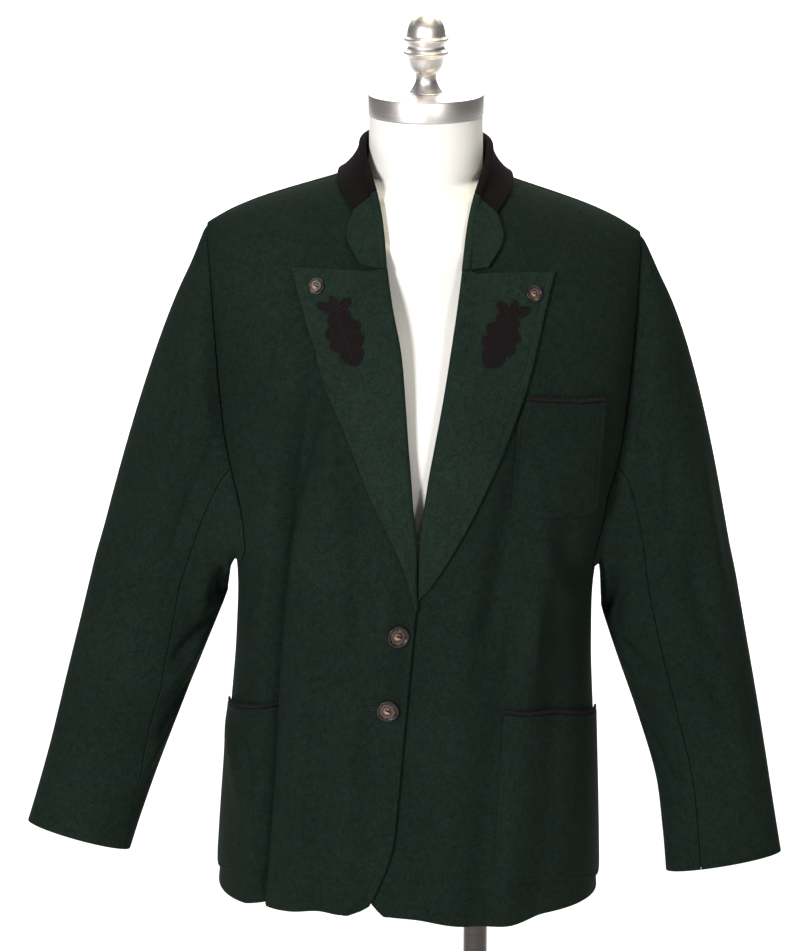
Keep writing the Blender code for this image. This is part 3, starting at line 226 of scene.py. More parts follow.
# ---------------------------------------------------------------- trimmings
# name, x, z, radius, which front, on the lapel
BUTTONS = (("button_upper", -0.0170, 0.9716, 0.0108, -1, False),
           ("button_lower", -0.0250, 0.8955, 0.0108, -1, False),
           ("button_lapel_right", -0.1006, 1.3030, 0.0079, -1, True),
           ("button_lapel_left", 0.1035, 1.3005, 0.0079, 1, True))
HOLE_LONG, HOLE_WIDE, HOLE_THREAD = 0.024, 0.0012, 0.00055
HOLE_X = -0.0145          # a buttonhole's middle from its button's
# name, x, z of its base, length, half width, degrees it leans out from
# straight down, lobes; x is mirrored for the right lapel
LEAVES = (("leaf", 0.0815, 1.2850, 0.0540, 0.0188, -22, 4),
          ("leaflet_inner", 0.0808, 1.2835, 0.0170, 0.0046, -132, 0),
          ("leaflet_middle", 0.0822, 1.2838, 0.0130, 0.0040, 160, 0),
          ("leaflet_outer", 0.0830, 1.2830, 0.0180, 0.0048, 104, 0))

# ---------------------------------------------------------------- dress form
CAP_R, CAP_Z, CAP_TALL = 0.056, 1.475, 0.0205
FORM_GAP = 0.0009         # the shoulders' ridge sits this far under the cloth
FORM_LOOSE = 0.0036       # and the rest of the shoulders this much further
FORM_DEEP = 0.0024        # no part of them comes nearer to the cloth's inside
FORM_COUNT, FORM_STEPS = 96, 5            # points a ring, rings a key ring
SHARP = math.radians(38)  # turned edges sharper than this stay sharp
# z, half width, front, back, squareness
FORM = ((0.700, 0.162, 0.104, 0.110, 2.3), (0.712, 0.169, 0.110, 0.116, 2.3),
        (0.770, 0.173, 0.114, 0.120, 2.3), (0.850, 0.166, 0.108, 0.110, 2.3),
        (0.930, 0.150, 0.098, 0.094, 2.2), (1.007, 0.149, 0.107, 0.094, 2.2),
        (1.080, 0.156, 0.121, 0.100, 2.2), (1.150, 0.165, 0.126, 0.104, 2.2),
        (1.220, 0.173, 0.115, 0.106, 2.1), (1.280, 0.180, 0.097, 0.103, 2.0))
FORM_LEVELS = (1.3350, 1.3480, 1.3600, 1.3710, 1.3800, 1.3870)
FORM_NECK = ((1.3925, 0.0572, 0.0545, 0.0565, 2.0),
             (1.4040, 0.0560, 0.0548, 0.0557, 2.0),
             (1.4200, 0.0553, 0.0550, 0.0555, 2.0),
             (1.4540, 0.0550, 0.0550, 0.0550, 2.0))
# radius, height above the cap (mm)
FINIAL = ((15.3, 0.3), (15.5, 1.6), (13.4, 5.0), (10.9, 10.0), (10.0, 14.0),
          (10.3, 18.0), (11.2, 20.3), (13.4, 22.6), (15.7, 27.0),
          (16.8, 32.0), (18.0, 35.6), (21.7, 39.6), (18.6, 43.0),
          (17.4, 46.0), (18.8, 49.0), (21.8, 52.6), (19.0, 56.0),
          (18.3, 60.0), (16.7, 66.0), (13.6, 71.0), (10.4, 74.3),
          (7.2, 76.2), (3.0, 76.8))
POLE_X, POLE_R = 0.053, 0.0123
BASE_R, BASE_TALL, FOOT_R, FOOT_TALL = 0.165, 0.010, 0.026, 0.014

# ---------------------------------------------------------------- folds
# the deep fold of the right front: z, x of its edge, depth, overhang
DEEP_FOLD = ((1.270, -0.085, 0.000, 0.000), (1.200, -0.098, 0.009, 0.000),
             (1.130, -0.109, 0.016, 0.0040), (1.040, -0.120, 0.020, 0.009),
             (0.930, -0.128, 0.022, 0.011), (0.815, -0.131, 0.023, 0.012),
             (0.640, -0.142, 0.023, 0.012))
FOLD_WIDTH = 0.026        # of its turn
VALLEY_START, VALLEY_WIDTH = 0.036, 0.024 # where the cloth dips towards it
CALM_Z, CALM_TALL = 0.720, 0.080          # soft folds fade below here, over this
UNDERLAP = 0.0048         # the left front's middle lies this far behind
UNDERLAP_X, UNDERLAP_WIDE, UNDERLAP_TALL = 0.012, 0.045, 0.050   # where it ends
CREASE_POINTS = 9
CREASE_FADE = 0.35        # share of a crease over which each end fades
# soft folds: middle x at the top and bottom, top z, bottom z, half width,
# height (+ out, - in); the first list is the front, the second the back
FRONT_FOLDS = (
    (-0.106, -0.116, 1.080, 0.640, 0.012, 0.0038),
    (-0.086, -0.092, 1.020, 0.640, 0.012, -0.0036),
    (-0.062, -0.068, 1.000, 0.640, 0.013, 0.0036),
    (-0.038, -0.042, 0.980, 0.640, 0.010, -0.0026),
    (0.052, 0.030, 1.120, 0.640, 0.022, 0.0052),
    (0.092, 0.072, 0.980, 0.700, 0.015, -0.0052),
    (0.118, 0.100, 1.050, 0.740, 0.015, 0.0042),
    (0.146, 0.132, 0.980, 0.700, 0.013, -0.0040),
)
BACK_FOLDS = (
    (-0.120, -0.130, 1.080, 0.640, 0.022, 0.0070),
    (-0.070, -0.075, 1.020, 0.640, 0.022, -0.0060),
    (0.000, 0.004, 1.000, 0.640, 0.026, 0.0050),
    (0.072, 0.078, 1.020, 0.640, 0.022, -0.0060),
    (0.122, 0.132, 1.080, 0.640, 0.022, 0.0070),
)
# creases placed one by one: x z of the start, x z that pulls its middle, x z of
# the end, half width (mm), height (mm, - for a trough)
FRONT_CREASES = (
    (-0.090, 1.240, -0.099, 1.165, -0.110, 1.090, 8, -4.6),
    (-0.078, 1.225, -0.086, 1.130, -0.096, 1.000, 15, 4.6),
    (-0.060, 1.150, -0.050, 1.030, -0.060, 0.880, 13, -6.9),
    (-0.030, 1.060, -0.026, 0.980, -0.030, 0.860, 12, 4.5),
    (0.103, 1.215, 0.090, 1.060, 0.056, 0.880, 15, -8.6),
    (0.128, 1.130, 0.120, 1.020, 0.104, 0.860, 13, 5.8),
    (-0.120, 1.250, -0.150, 1.205, -0.188, 1.185, 13, -2.4),
    (-0.128, 1.285, -0.150, 1.255, -0.176, 1.245, 11, 1.8),
    (-0.135, 1.180, -0.160, 1.120, -0.176, 1.060, 12, -2.7),
    (-0.150, 1.010, -0.158, 0.950, -0.168, 0.900, 9, 3.0),
    (-0.142, 1.000, -0.146, 0.950, -0.150, 0.900, 8, -2.2),
    (-0.172, 0.860, -0.160, 0.815, -0.154, 0.780, 6, -5.1),
    (-0.184, 0.850, -0.172, 0.800, -0.160, 0.740, 8, 3.3),
    (-0.040, 0.970, -0.062, 0.975, -0.090, 0.990, 8, 2.1),
    (-0.046, 0.956, -0.066, 0.952, -0.092, 0.955, 8, -2.1),
    (-0.048, 0.895, -0.068, 0.888, -0.090, 0.886, 8, -1.7),
    (0.020, 0.975, 0.045, 0.985, 0.074, 1.005, 9, 2.2),
    (0.022, 0.955, 0.046, 0.954, 0.070, 0.962, 9, -2.0),
    (0.020, 0.892, 0.045, 0.888, 0.075, 0.893, 8, -1.5),
    (0.098, 1.020, 0.095, 0.960, 0.088, 0.905, 9, -4.5),
    (0.112, 1.000, 0.111, 0.965, 0.106, 0.930, 8, 3.9),
    (0.135, 1.075, 0.152, 1.035, 0.168, 1.000, 12, -3.3),
    (0.120, 1.060, 0.140, 1.010, 0.160, 0.975, 11, 2.7),
    (0.178, 1.160, 0.186, 1.110, 0.190, 1.060, 8, -2.7),
    (0.140, 1.250, 0.165, 1.230, 0.195, 1.240, 13, -2.0),
    (0.075, 1.340, 0.110, 1.335, 0.150, 1.345, 12, -1.4),
    (-0.075, 1.340, -0.110, 1.335, -0.150, 1.345, 12, -1.4),
)
BACK_CREASES = (
    (-0.110, 1.290, -0.140, 1.240, -0.180, 1.220, 14, -1.8),
    (-0.130, 1.210, -0.155, 1.150, -0.172, 1.080, 13, 2.2),
    (-0.100, 1.170, -0.120, 1.100, -0.132, 1.020, 12, -2.4),
    (0.115, 1.280, 0.145, 1.235, 0.182, 1.225, 14, -1.6),
    (0.128, 1.200, 0.150, 1.140, 0.170, 1.075, 13, 2.3),
    (0.095, 1.165, 0.118, 1.105, 0.135, 1.030, 12, -2.2),
    (-0.060, 1.010, 0.000, 1.000, 0.065, 1.012, 10, -2.0),
    (-0.070, 0.985, 0.000, 0.972, 0.080, 0.988, 12, 2.2),
    (-0.165, 0.990, -0.130, 0.960, -0.090, 0.950, 10, -1.8),
    (0.168, 0.985, 0.132, 0.962, 0.092, 0.948, 10, -1.8),
    (-0.045, 1.345, 0.000, 1.328, 0.050, 1.346, 12, -1.3),
    (-0.035, 0.930, -0.038, 0.840, -0.030, 0.720, 16, -2.5),
    (0.042, 0.930, 0.036, 0.840, 0.044, 0.730, 16, -2.2),
)
# a sleeve's creases: share of the way down and degrees round (0 outside, 90
# front, 180 inside, 270 back) of the start, middle and end, half width (mm),
# height (mm)
SLEEVE_CREASES = {
    -1: ((0.16, 150, 0.30, 140, 0.44, 172, 9, -8.4),
         (0.24, 132, 0.36, 120, 0.50, 138, 10, 6.8),
         (0.42, 170, 0.50, 132, 0.60, 112, 10, -6.8),
         (0.50, 160, 0.58, 128, 0.68, 100, 10, 5.2),
         (0.60, 168, 0.68, 140, 0.78, 122, 10, -5.2),
         (0.70, 150, 0.78, 120, 0.88, 96, 12, 4.0),
         (0.14, 76, 0.24, 66, 0.36, 74, 15, 4.4),
         (0.10, 40, 0.24, 34, 0.40, 46, 19, -3.2),
         (0.46, 60, 0.56, 44, 0.66, 30, 15, -3.6),
         (0.66, 66, 0.76, 52, 0.88, 46, 15, 3.6),
         (0.30, 200, 0.42, 214, 0.54, 206, 12, -6.8),
         (0.40, 226, 0.50, 246, 0.58, 280, 12, 6.0),
         (0.48, 210, 0.56, 238, 0.64, 268, 11, -6.4),
         (0.58, 226, 0.66, 252, 0.74, 282, 13, 4.8),
         (0.16, 286, 0.28, 300, 0.42, 292, 16, -4.4),
         (0.74, 214, 0.82, 240, 0.90, 266, 12, -4.0)),
    1: ((0.17, 140, 0.30, 146, 0.44, 170, 9, -8.8),
        (0.24, 116, 0.36, 122, 0.50, 142, 10, 6.0),
        (0.12, 60, 0.20, 78, 0.30, 84, 11, -5.6),
        (0.18, 34, 0.32, 48, 0.48, 44, 14, 6.0),
        (0.30, 66, 0.42, 70, 0.54, 60, 10, -5.2),
        (0.44, 168, 0.52, 134, 0.62, 116, 10, -6.0),
        (0.52, 158, 0.60, 126, 0.70, 104, 11, 4.8),
        (0.52, 84, 0.62, 66, 0.72, 56, 10, -4.8),
        (0.62, 60, 0.74, 48, 0.88, 50, 14, 3.6),
        (0.64, 168, 0.72, 146, 0.82, 128, 10, -4.4),
        (0.30, 202, 0.42, 216, 0.54, 208, 12, -6.4),
        (0.40, 228, 0.50, 250, 0.58, 284, 12, 6.0),
        (0.48, 212, 0.56, 240, 0.64, 270, 11, -6.4),
        (0.60, 224, 0.68, 250, 0.76, 284, 13, 4.4),
        (0.14, 288, 0.28, 298, 0.40, 290, 16, -4.4),
        (0.76, 212, 0.84, 238, 0.92, 262, 12, -4.0)),
}

# ---------------------------------------------------------------- sewing
TOPSTITCH = 0.0060        # topstitching lies this far inside an edge
GROOVE, GROOVE_WIDE = 0.00045, 0.0011     # depth and half width of its dent
PUFF, PUFF_END = 0.35, 0.0048             # rise outside it, share of the depth
STITCH_LONG, STITCH_GAP, STITCH_R = 0.0030, 0.0013, 0.00028

# ---------------------------------------------------------------- camera
CAMERA = (-0.02522, -3.1, 1.9827)
PITCH = math.radians(90 - 16.05)
FOCAL_PX, PHOTO_TALL = 3230, 951          # the photo is 800 x 951 pixels
SENSOR_MM = 24.0


# ================================================================ numbers
def hermite(t, start, end, start_way, end_way):
    """A smooth curve from start to end, with its direction at both."""
    return ((2 * t**3 - 3 * t**2 + 1) * start + (t**3 - 2 * t**2 + t) * start_way
            + (3 * t**2 - 2 * t**3) * end + (t**3 - t**2) * end_way)


def blend(x, table, column):
    """A smooth curve through one column of a table, read at x."""
    table = sorted(table)
    xs = np.array([row[0] for row in table], float)
    ys = np.array([row[column] for row in table], float)
    x = np.asarray(x, float)
    slope = np.gradient(ys, xs)
    i = np.clip(np.searchsorted(xs, x) - 1, 0, len(xs) - 2)
    h = xs[i + 1] - xs[i]
    t = np.clip((x - xs[i]) / h, 0.0, 1.0)
    return hermite(t, ys[i], ys[i + 1], h * slope[i], h * slope[i + 1])


def ease(t):
    """0 to 1 with soft ends."""
    t = np.clip(t, 0.0, 1.0)
    return t * t * (3 - 2 * t)


def unit(vector):
    """The same direction, 1 long."""
    return vector / np.maximum(np.linalg.norm(vector, axis=-1, keepdims=True), 1e-12)


def signed(value, power):
    """A power that keeps its value's sign."""
    return np.sign(value) * np.abs(value) ** power


def turns(count):
    """Equal angles once round."""
    return np.arange(count) * 2 * math.pi / count


def run_of(points):
    """Distance along a line of points, from its start."""
    return np.r_[0, np.cumsum(np.linalg.norm(np.diff(points, axis=0), axis=1))]


def read_at(at, run, rows):
    """Rows of numbers read between their places along a run."""
    return np.stack([np.interp(at, run, column) for column in rows.T], -1)


def bow(start, pull, end, t):
    """Points on a curve from start to end, pulled towards a third point."""
    return start * (1 - t) ** 2 + pull * 2 * t * (1 - t) + end * t * t


def creases(x, y, rows, size=(1.0, 1.0)):
    """Height of the listed creases at x, y; size turns both into metres."""
    height = np.zeros_like(x)
    at = np.stack([x * size[0], y * size[1]], -1)
    for row in rows:
        ends = (np.array(row[k:k + 2], float) for k in (0, 2, 4))
        path = bow(*ends, np.linspace(0, 1, CREASE_POINTS)[:, None]) * size
        width, tall = row[6] * MM, row[7] * MM
        best = np.full(x.shape, 1e9)
        along = np.zeros(x.shape)
        for k, (a, b) in enumerate(zip(path, path[1:])):
            t = np.clip(((at - a) @ (b - a)) / np.dot(b - a, b - a), 0, 1)
            d = np.linalg.norm(at - a - t[..., None] * (b - a), axis=-1)
            along = np.where(d < best, (k + t) / (len(path) - 1), along)
            best = np.minimum(best, d)
        fade = ease(along / CREASE_FADE) * ease((1 - along) / CREASE_FADE)
        height += tall * fade * np.exp(-((best / width) ** 2))
    return height


# ================================================================ surface
def section(phi, half_width, front, back, square=SQUARE):
    """x and y of a level section at phi from the centre front."""
    s, c = np.sin(phi), np.cos(phi)
    depth = np.where(c > 0, front, back)
    return half_width * signed(s, 2 / square), -depth * signed(c, 2 / square)


def plain_point(phi, v):
    """The body without folds: v is 0 at the hem, 1 at the bust, 2 on the
    shoulder ridge."""
    phi, v = np.broadcast_arrays(np.asarray(phi, float), np.asarray(v, float))
    hem = blend(np.degrees(phi), HEM, 1)
    z_low = hem + (BUST_Z - hem) * np.minimum(v, 1.0)
    x_low, y_low = section(phi, blend(z_low, BODY, 1), blend(z_low, BODY, 2),
                           blend(z_low, BODY, 3))
    t = np.maximum(v - 1.0, 0.0) * math.pi / 2
    front, back = blend(BUST_Z, BODY, 2), blend(BUST_Z, BODY, 3)
    x_top, y_top = section(phi, blend(np.degrees(t), YOKE, 1),
                           front * np.cos(t), back * np.sqrt(1 - np.sin(t) ** 4))
    z_top = BUST_Z + (blend(np.abs(x_top), RIDGE, 1) - BUST_Z) * np.sin(t)
    top = v > 1.0
    return np.stack([np.where(top, x_top, x_low), np.where(top, y_top, y_low),
                     np.where(top, z_top, z_low)], -1)


def normal_of(surface, phi, v, step=2e-3):
    """Outward normals of a surface by central differences."""
    phi, v = np.broadcast_arrays(np.asarray(phi, float), np.asarray(v, float))
    low, high = np.maximum(v - step, 0.0), np.minimum(v + step, 1.9999)
    along = surface(phi + step, v) - surface(phi - step, v)
    up = surface(phi, high) - surface(phi, low)
    return unit(np.cross(along, up))


def soft_folds(folds, x, z):
    """Height of the long soft folds at x, z."""
    height = np.zeros_like(x)
    for top_x, low_x, top_z, low_z, width, tall in folds:
        down = np.clip((top_z - z) / (top_z - low_z), 0.0, 1.0)
        middle = top_x + (low_x - top_x) * down
        height += tall * ease(down * 2.5) * np.exp(-((x - middle) / width) ** 2)
    return height * (1 - 0.5 * ease((CALM_Z - z) / CALM_TALL))


def body_point(phi, v):
    """The jacket's outside, with its folds and creases."""
    p = plain_point(phi, v)
    phi = np.broadcast_to(np.asarray(phi, float), p.shape[:-1])
    n = normal_of(plain_point, phi, v)
    x, z = p[..., 0], p[..., 2]
    front = np.cos(phi) > 0
    lift = np.where(front, soft_folds(FRONT_FOLDS, x, z) + creases(x, z, FRONT_CREASES),
                    soft_folds(BACK_FOLDS, x, z) + creases(x, z, BACK_CREASES))
    edge, depth, over = (blend(z, DEEP_FOLD, k) for k in (1, 2, 3))
    fold = z < DEEP_FOLD[0][0]
    across = np.stack([-n[..., 1], n[..., 0], np.zeros_like(x)], -1)
    slant = np.maximum(np.abs(n[..., 1]), 0.35)
    s = np.where(front & fold & (x < 0), (x - edge) / slant, 1.0)
    side = np.clip((s + VALLEY_START) / VALLEY_WIDTH, 0.0, 1.0) ** 1.5
    lift = lift - depth * (1 - ease(s / FOLD_WIDTH + 0.5)) * side
    slide = -over * np.where(np.abs(s) < FOLD_WIDTH / 2,
                             np.sin(2 * math.pi * s / FOLD_WIDTH), 0.0)
    return p + n * lift[..., None] + across * slide[..., None]


def place_of(x, z):
    """phi and v of the point of the plain front at x, z."""
    x, z = np.broadcast_arrays(np.asarray(x, float), np.asarray(z, float))
    ridge = blend(np.abs(x), RIDGE, 1)
    t = np.arcsin(np.clip((z - BUST_Z) / (ridge - BUST_Z), 0.0, 0.9999))
    half = np.where(z > BUST_Z, blend(np.degrees(t), YOKE, 1), blend(z, BODY, 1))
    sine = np.clip(np.abs(x) / half, 0, 0.99999) ** (SQUARE / 2)
    phi = np.sign(x) * np.arcsin(sine)
    hem = blend(np.degrees(phi), HEM, 1)
    v = np.where(z > BUST_Z, 1 + t / (math.pi / 2), (z - hem) / (BUST_Z - hem))
    return phi, np.maximum(v, 0.0)


def left_point(phi, v):
    """The left front: near the middle it passes under the right one."""
    p = body_point(phi, v)
    near = 1 - ease((p[..., 0] - UNDERLAP_X) / UNDERLAP_WIDE)
    low = 1 - ease((p[..., 2] - FULL_Z) / UNDERLAP_TALL)
    return p - normal_of(plain_point, phi, v) * (UNDERLAP * near * low)[..., None]


SURFACE = {-1: body_point, 1: left_point}


def over_front(side, x, z, out):
    """A point of one front at x, z, moved out."""
    phi, v = place_of(x, z)
    surface = SURFACE[side]
    return surface(phi, v) + normal_of(surface, phi, v) * np.asarray(out, float)[..., None]


def out_of_front(side, x, z):
    """Direction out of one front at x, z."""
    return unit(over_front(side, x, z, PROBE) - over_front(side, x, z, 0.0))


def off_body(points):
    """How far outside the body each point lies, and the way out there."""
    x, y, z = np.moveaxis(points, -1, 0)
    phi, v = place_of(x, z)
    phi = np.where(y < 0, phi, np.sign(x + 1e-9) * (math.pi - np.abs(phi)))
    base, n = body_point(phi, v), normal_of(body_point, phi, v)
    return np.sum((points - base) * n, -1), n


def lift(points, gap):
    """Push points off the body until each is a gap outside it."""
    clear, n = off_body(points)
    return points + n * np.maximum(gap - clear, 0.0)[..., None]


def sink(points, gap, weight):
    """Push points of the form into the body until each is a gap inside it."""
    clear, n = off_body(points)
    return points + n * (weight * np.minimum(-gap - clear, 0.0))[..., None]


def hang(points, weight=1.0):
    """Turn the garment a little about the neck, as it hangs on the form."""
    points, w = np.asarray(points, float), np.asarray(weight, float)[..., None]
    x, y, z = np.moveaxis(points, -1, 0)
    c, s = math.cos(HANG), math.sin(HANG)
    up = z - HANG_Z
    turned = np.stack([x * c + up * s, y, HANG_Z + up * c - x * s], -1)
    return points * (1 - w) + turned * w


# ================================================================ meshes
def make(name, points, faces, mat, slot=None, node=None):
    """One mesh object with its faces turned outwards; with a slot it rides
    the part's one body, and it may stand for a CAD node."""
    mesh = bpy.data.meshes.new(name)
    mesh.from_pydata(np.asarray(points, float).tolist(), [], faces)
    work = bmesh.new()
    work.from_mesh(mesh)
    bmesh.ops.recalc_face_normals(work, faces=work.faces)
    work.to_mesh(mesh)
    work.free()
    mesh.materials.append(mat)
    mesh.polygons.foreach_set("use_smooth", [True] * len(mesh.polygons))
    obj = bpy.data.objects.new(name, mesh)
    bpy.context.scene.collection.objects.link(obj)
    if node:
        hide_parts(node)
    if slot:
        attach(obj, "root")
    return obj


def point_values(obj, name, values):
    """Give a mesh's first points a value that its material reads."""
    every = np.zeros(len(obj.data.vertices), np.float32)
    every[:len(values)] = values
    obj.data.attributes.new(name, "FLOAT", "POINT").data.foreach_set("value", every)


def grid_faces(rows, cols, base=0):
    """Faces of a grid of points, the first of which is number base."""
    corners = (base + r * cols + c for r in range(rows - 1) for c in range(cols - 1))
    return [(k, k + 1, k + cols + 1, k + cols) for k in corners]


def band(first, second):
    """Faces between two closed loops of point numbers."""
    a, b = [int(k) for k in first], [int(k) for k in second]
    return list(zip(a, a[1:] + a[:1], b[1:] + b[:1], b))


def border(rows, cols):
    """Rows and columns of a grid's border, once round."""
    path = [(0, j) for j in range(cols)] + [(i, cols - 1) for i in range(1, rows)]
    path += [(rows - 1, j) for j in range(cols - 2, -1, -1)]
    path += [(i, 0) for i in range(rows - 2, 0, -1)]
    return np.array(path)


def outward(grid, n, path):
    """Directions out of a grid's edge, along the sheet, and the room there."""
    rows, cols = grid.shape[:2]
    i, j = path[:, 0], path[:, 1]
    inner_i = np.where(i == 0, 1, np.where(i == rows - 1, rows - 2, i))
    inner_j = np.where(j == 0, 1, np.where(j == cols - 1, cols - 2, j))
    here, face = grid[i, j], n[i, j]
    by_row, by_col = here - grid[inner_i, j], here - grid[i, inner_j]
    room = np.full(len(path), 1.0)
    for way in (by_row, by_col):
        far = np.linalg.norm(way, axis=1)
        room = np.minimum(room, np.where(far > 1e-9, far, 1.0))
    out = unit(by_row) * (inner_i != i)[:, None] + unit(by_col) * (inner_j != j)[:, None]
    out = unit(out - face * np.sum(out * face, -1, keepdims=True))
    return out, room


def shell(name, outside, n, thick, mat, slot="green_loden", node=None):
    """A sheet of cloth: two faces and a rounded rim all round its edge."""
    rows, cols = outside.shape[:2]
    thick = np.broadcast_to(thick, (rows, cols))[..., None]
    path = border(rows, cols)
    i, j = path[:, 0], path[:, 1]
    out, room = outward(outside, n, path)
    half = thick[i, j] / 2
    middle, face = outside[i, j] - n[i, j] * half, n[i, j]
    pull = np.minimum(0.9 * half, 0.35 * room[:, None])
    top, low = outside.copy(), outside - n * thick
    top[i, j] -= out * pull
    low[i, j] -= out * pull
    rim = [middle + out * pull * (math.cos(a) - 1) + face * half * math.sin(a)
           for a in np.radians((50, 0, -50))]
    count, around = rows * cols, len(path)
    faces = grid_faces(rows, cols) + grid_faces(rows, cols, count)
    loops = [i * cols + j]
    loops += [2 * count + k * around + np.arange(around) for k in range(3)]
    loops.append(count + i * cols + j)
    for a, b in zip(loops, loops[1:]):
        faces += band(a, b)
    points = np.concatenate([top.reshape(-1, 3), low.reshape(-1, 3), *rim])
    return make(name, hang(points), faces, mat, slot, node)


def thin_shell(name, outside, n, thick, mat, slot, node):
    """A sheet whose thickness varies, with a plain rim."""
    rows, cols = outside.shape[:2]
    i, j = border(rows, cols).T
    loop, count = i * cols + j, rows * cols
    faces = grid_faces(rows, cols) + grid_faces(rows, cols, count)
    faces += band(loop, loop + count)
    low = outside - n * thick[..., None]
    points = np.concatenate([outside.reshape(-1, 3), low.reshape(-1, 3)])
    return make(name, hang(points), faces, mat, slot, node)


def tube(rings, closed_ends=True):
    """Points and faces of a tube through equal rings."""
    rings = np.asarray(rings)
    count, around = rings.shape[:2]
    number = np.arange(count * around).reshape(count, around)
    faces = []
    for a, b in zip(number, number[1:]):
        faces += band(a, b)
    if closed_ends:
        faces += [tuple(range(around)), tuple(number[-1].tolist())]
    return rings.reshape(-1, 3), faces


def rings_round(path, size, one, other, count):
    """Rings of points round a path, in the plane of two directions."""
    a = turns(count)[:, None]
    return path[:, None] + size * (np.cos(a) * one[:, None] + np.sin(a) * other)


def join(parts):
    """One list of points and faces from several."""
    points, faces, base = [], [], 0
    for some, polygons in parts:
        points.append(some)
        faces += [tuple(k + base for k in face) for face in polygons]
        base += len(some)
    return np.concatenate(points), faces


def lathe(profile, centre, segments, axis=(0, 0, 1.0)):
    """Points and faces of a turned shape: rows are radius, height."""
    centre, up = np.asarray(centre, float), unit(np.asarray(axis, float))
    side = unit(np.cross(up, [0, 1.0, 0] if abs(up[1]) < 0.9 else [0, 0, 1.0]))
    fore = np.cross(up, side)
    angle = turns(segments)[:, None]
    circle = np.cos(angle) * side + np.sin(angle) * fore
    return tube([centre + up * h + max(r, 1e-5) * circle for r, h in profile])


def smooth_profile(profile, steps):
    """A finer profile on a smooth curve through the given rows."""
    at = np.linspace(0, len(profile) - 1, (len(profile) - 1) * steps + 1)
    table = [(k, *row) for k, row in enumerate(profile)]
    return list(zip(blend(at, table, 1), blend(at, table, 2)))


def grid_area(grid):
    """Area of a grid's faces."""
    a, b = grid[1:, 1:] - grid[:-1, :-1], grid[1:, :-1] - grid[:-1, 1:]
    return float(np.linalg.norm(np.cross(a, b), axis=-1).sum() / 2)


def sheet_normals(grid, like=None):
    """Directions square to a grid; like gives the rough outward side."""
    n = unit(np.cross(np.gradient(grid, axis=1), np.gradient(grid, axis=0)))
    if like is not None:
        n = n * np.where(np.sum(n * like, -1, keepdims=True) < 0, -1.0, 1.0)
    return n


# ================================================================ panels
UNDERARM = (UNDERARM_Z - SIDE_HEM) / (BUST_Z - SIDE_HEM)
# shares of the way up from the hem (0) to the bust (1) and the shoulder (2):
# close together at the hem and above the underarm
HEM_ROWS, LOW_ROWS, ARM_ROWS, TOP_ROWS = (0.0, 0.0025, 0.006), 62, 37, 62
ROWS = np.concatenate([
    HEM_ROWS, np.linspace(0.012, UNDERARM, LOW_ROWS),
    UNDERARM + (1 - UNDERARM) * np.linspace(0, 1, ARM_ROWS)[1:] ** 1.7,
    1 + np.linspace(0, 1, TOP_ROWS)[1:]])
FIRST_ARM = len(HEM_ROWS) + LOW_ROWS - 1  # the row at the underarm
LEVEL_Z, LEVEL_TALL = 0.720, 0.250        # rows turn level above here, over this
FOLD_COLS = 26            # columns across the deep fold
RIGHT_COLS, LEFT_COLS, BACK_COLS = (34, 44), (54, 42), (34, 34)
EDGE_STEPS = 12           # steps that find where a front ends
# a front's end goes over from its edge to its roll line: from, over
RIGHT_OVER, LEFT_OVER = (0.001, 0.010), (-0.004, 0.016)
SMALL_TURN, LEAST_STEP = 1e-3, 2e-5
KNEE = math.radians(46)   # where the even columns of front and side meet
SEAM_TURN = 0.004         # a seam's gap turns a panel's end by this at most


def top_v(phi):
    """v where the panels end: at the shoulder seam, and round the neck at
    the back."""
    deep = np.maximum(np.abs(np.cos(phi)) ** (2 / SQUARE), 1e-6)
    x = np.abs(plain_point(phi, 1.9)[..., 0])
    apart = RIDGE_Y + RIDGE_OPEN * ease((x - 0.180) / 0.025)
    front = np.arccos(np.clip(apart / (blend(BUST_Z, BODY, 2) * deep), 0, 0.9))
    y = np.sqrt(np.maximum(NECK_SEAM_R**2 - x**2, apart**2))
    share = np.clip(y / (blend(BUST_Z, BODY, 3) * deep), 0, 0.9)
    back = np.arcsin((1 - share**2) ** 0.25)
    return 1 + np.where(np.cos(phi) > 0, front, back) / (math.pi / 2)


def row_v(phi, row):
    """v of a row: parallel to the hem at the bottom, level higher up."""
    hem = blend(np.degrees(phi), HEM, 1)
    z = SIDE_HEM + (BUST_Z - SIDE_HEM) * row
    level = (z - hem) / (BUST_Z - hem)
    keep = ease((z - LEVEL_Z) / LEVEL_TALL)
    return np.where(row < 1, row * (1 - keep) + level * keep,
                    1 + (row - 1) * (top_v(phi) - 1))


def row_z(phi, row):
    """Height of a row at phi."""
    return plain_point(phi, row_v(phi, row))[..., 2]


def cover(row, part):
    """Radians from the middle to the side seam or the armhole."""
    column = PART[part]
    z = np.clip(SIDE_HEM + (BUST_Z - SIDE_HEM) * row, UNDERARM_Z, BUST_Z)
    low = np.interp(z, [r[0] for r in ARMHOLE_LOW], [r[column] for r in ARMHOLE_LOW])
    high = blend((np.maximum(row, 1) - 1) * 90, ARMHOLE_HIGH, column)
    return np.radians(np.where(row > 1, high, low))


def edge_phi(row, edge):
    """phi where a front ends on each row, from its edge's x at each height,
    found step by step, because a row's height depends on phi."""
    phi = np.zeros_like(row)
    for _ in range(EDGE_STEPS):
        z = row_z(phi, row)
        phi = place_of(edge(z), z)[0]
    return phi


def turn_radius(z):
    """Radius of a lapel's turn: it grows out of the front's edge."""
    return TURN_START + (TURN_R - TURN_START) * ease((z - BREAK_Z) / (FULL_Z - BREAK_Z))


def roll_x(side, z):
    """Distance of a roll line from the middle."""
    return blend(z, ROLL, 1 if side < 0 else 2)


def roll_in(z):
    """How far outside its roll line a front ends, inside the turn."""
    return turn_radius(z) + ROLL_OVER


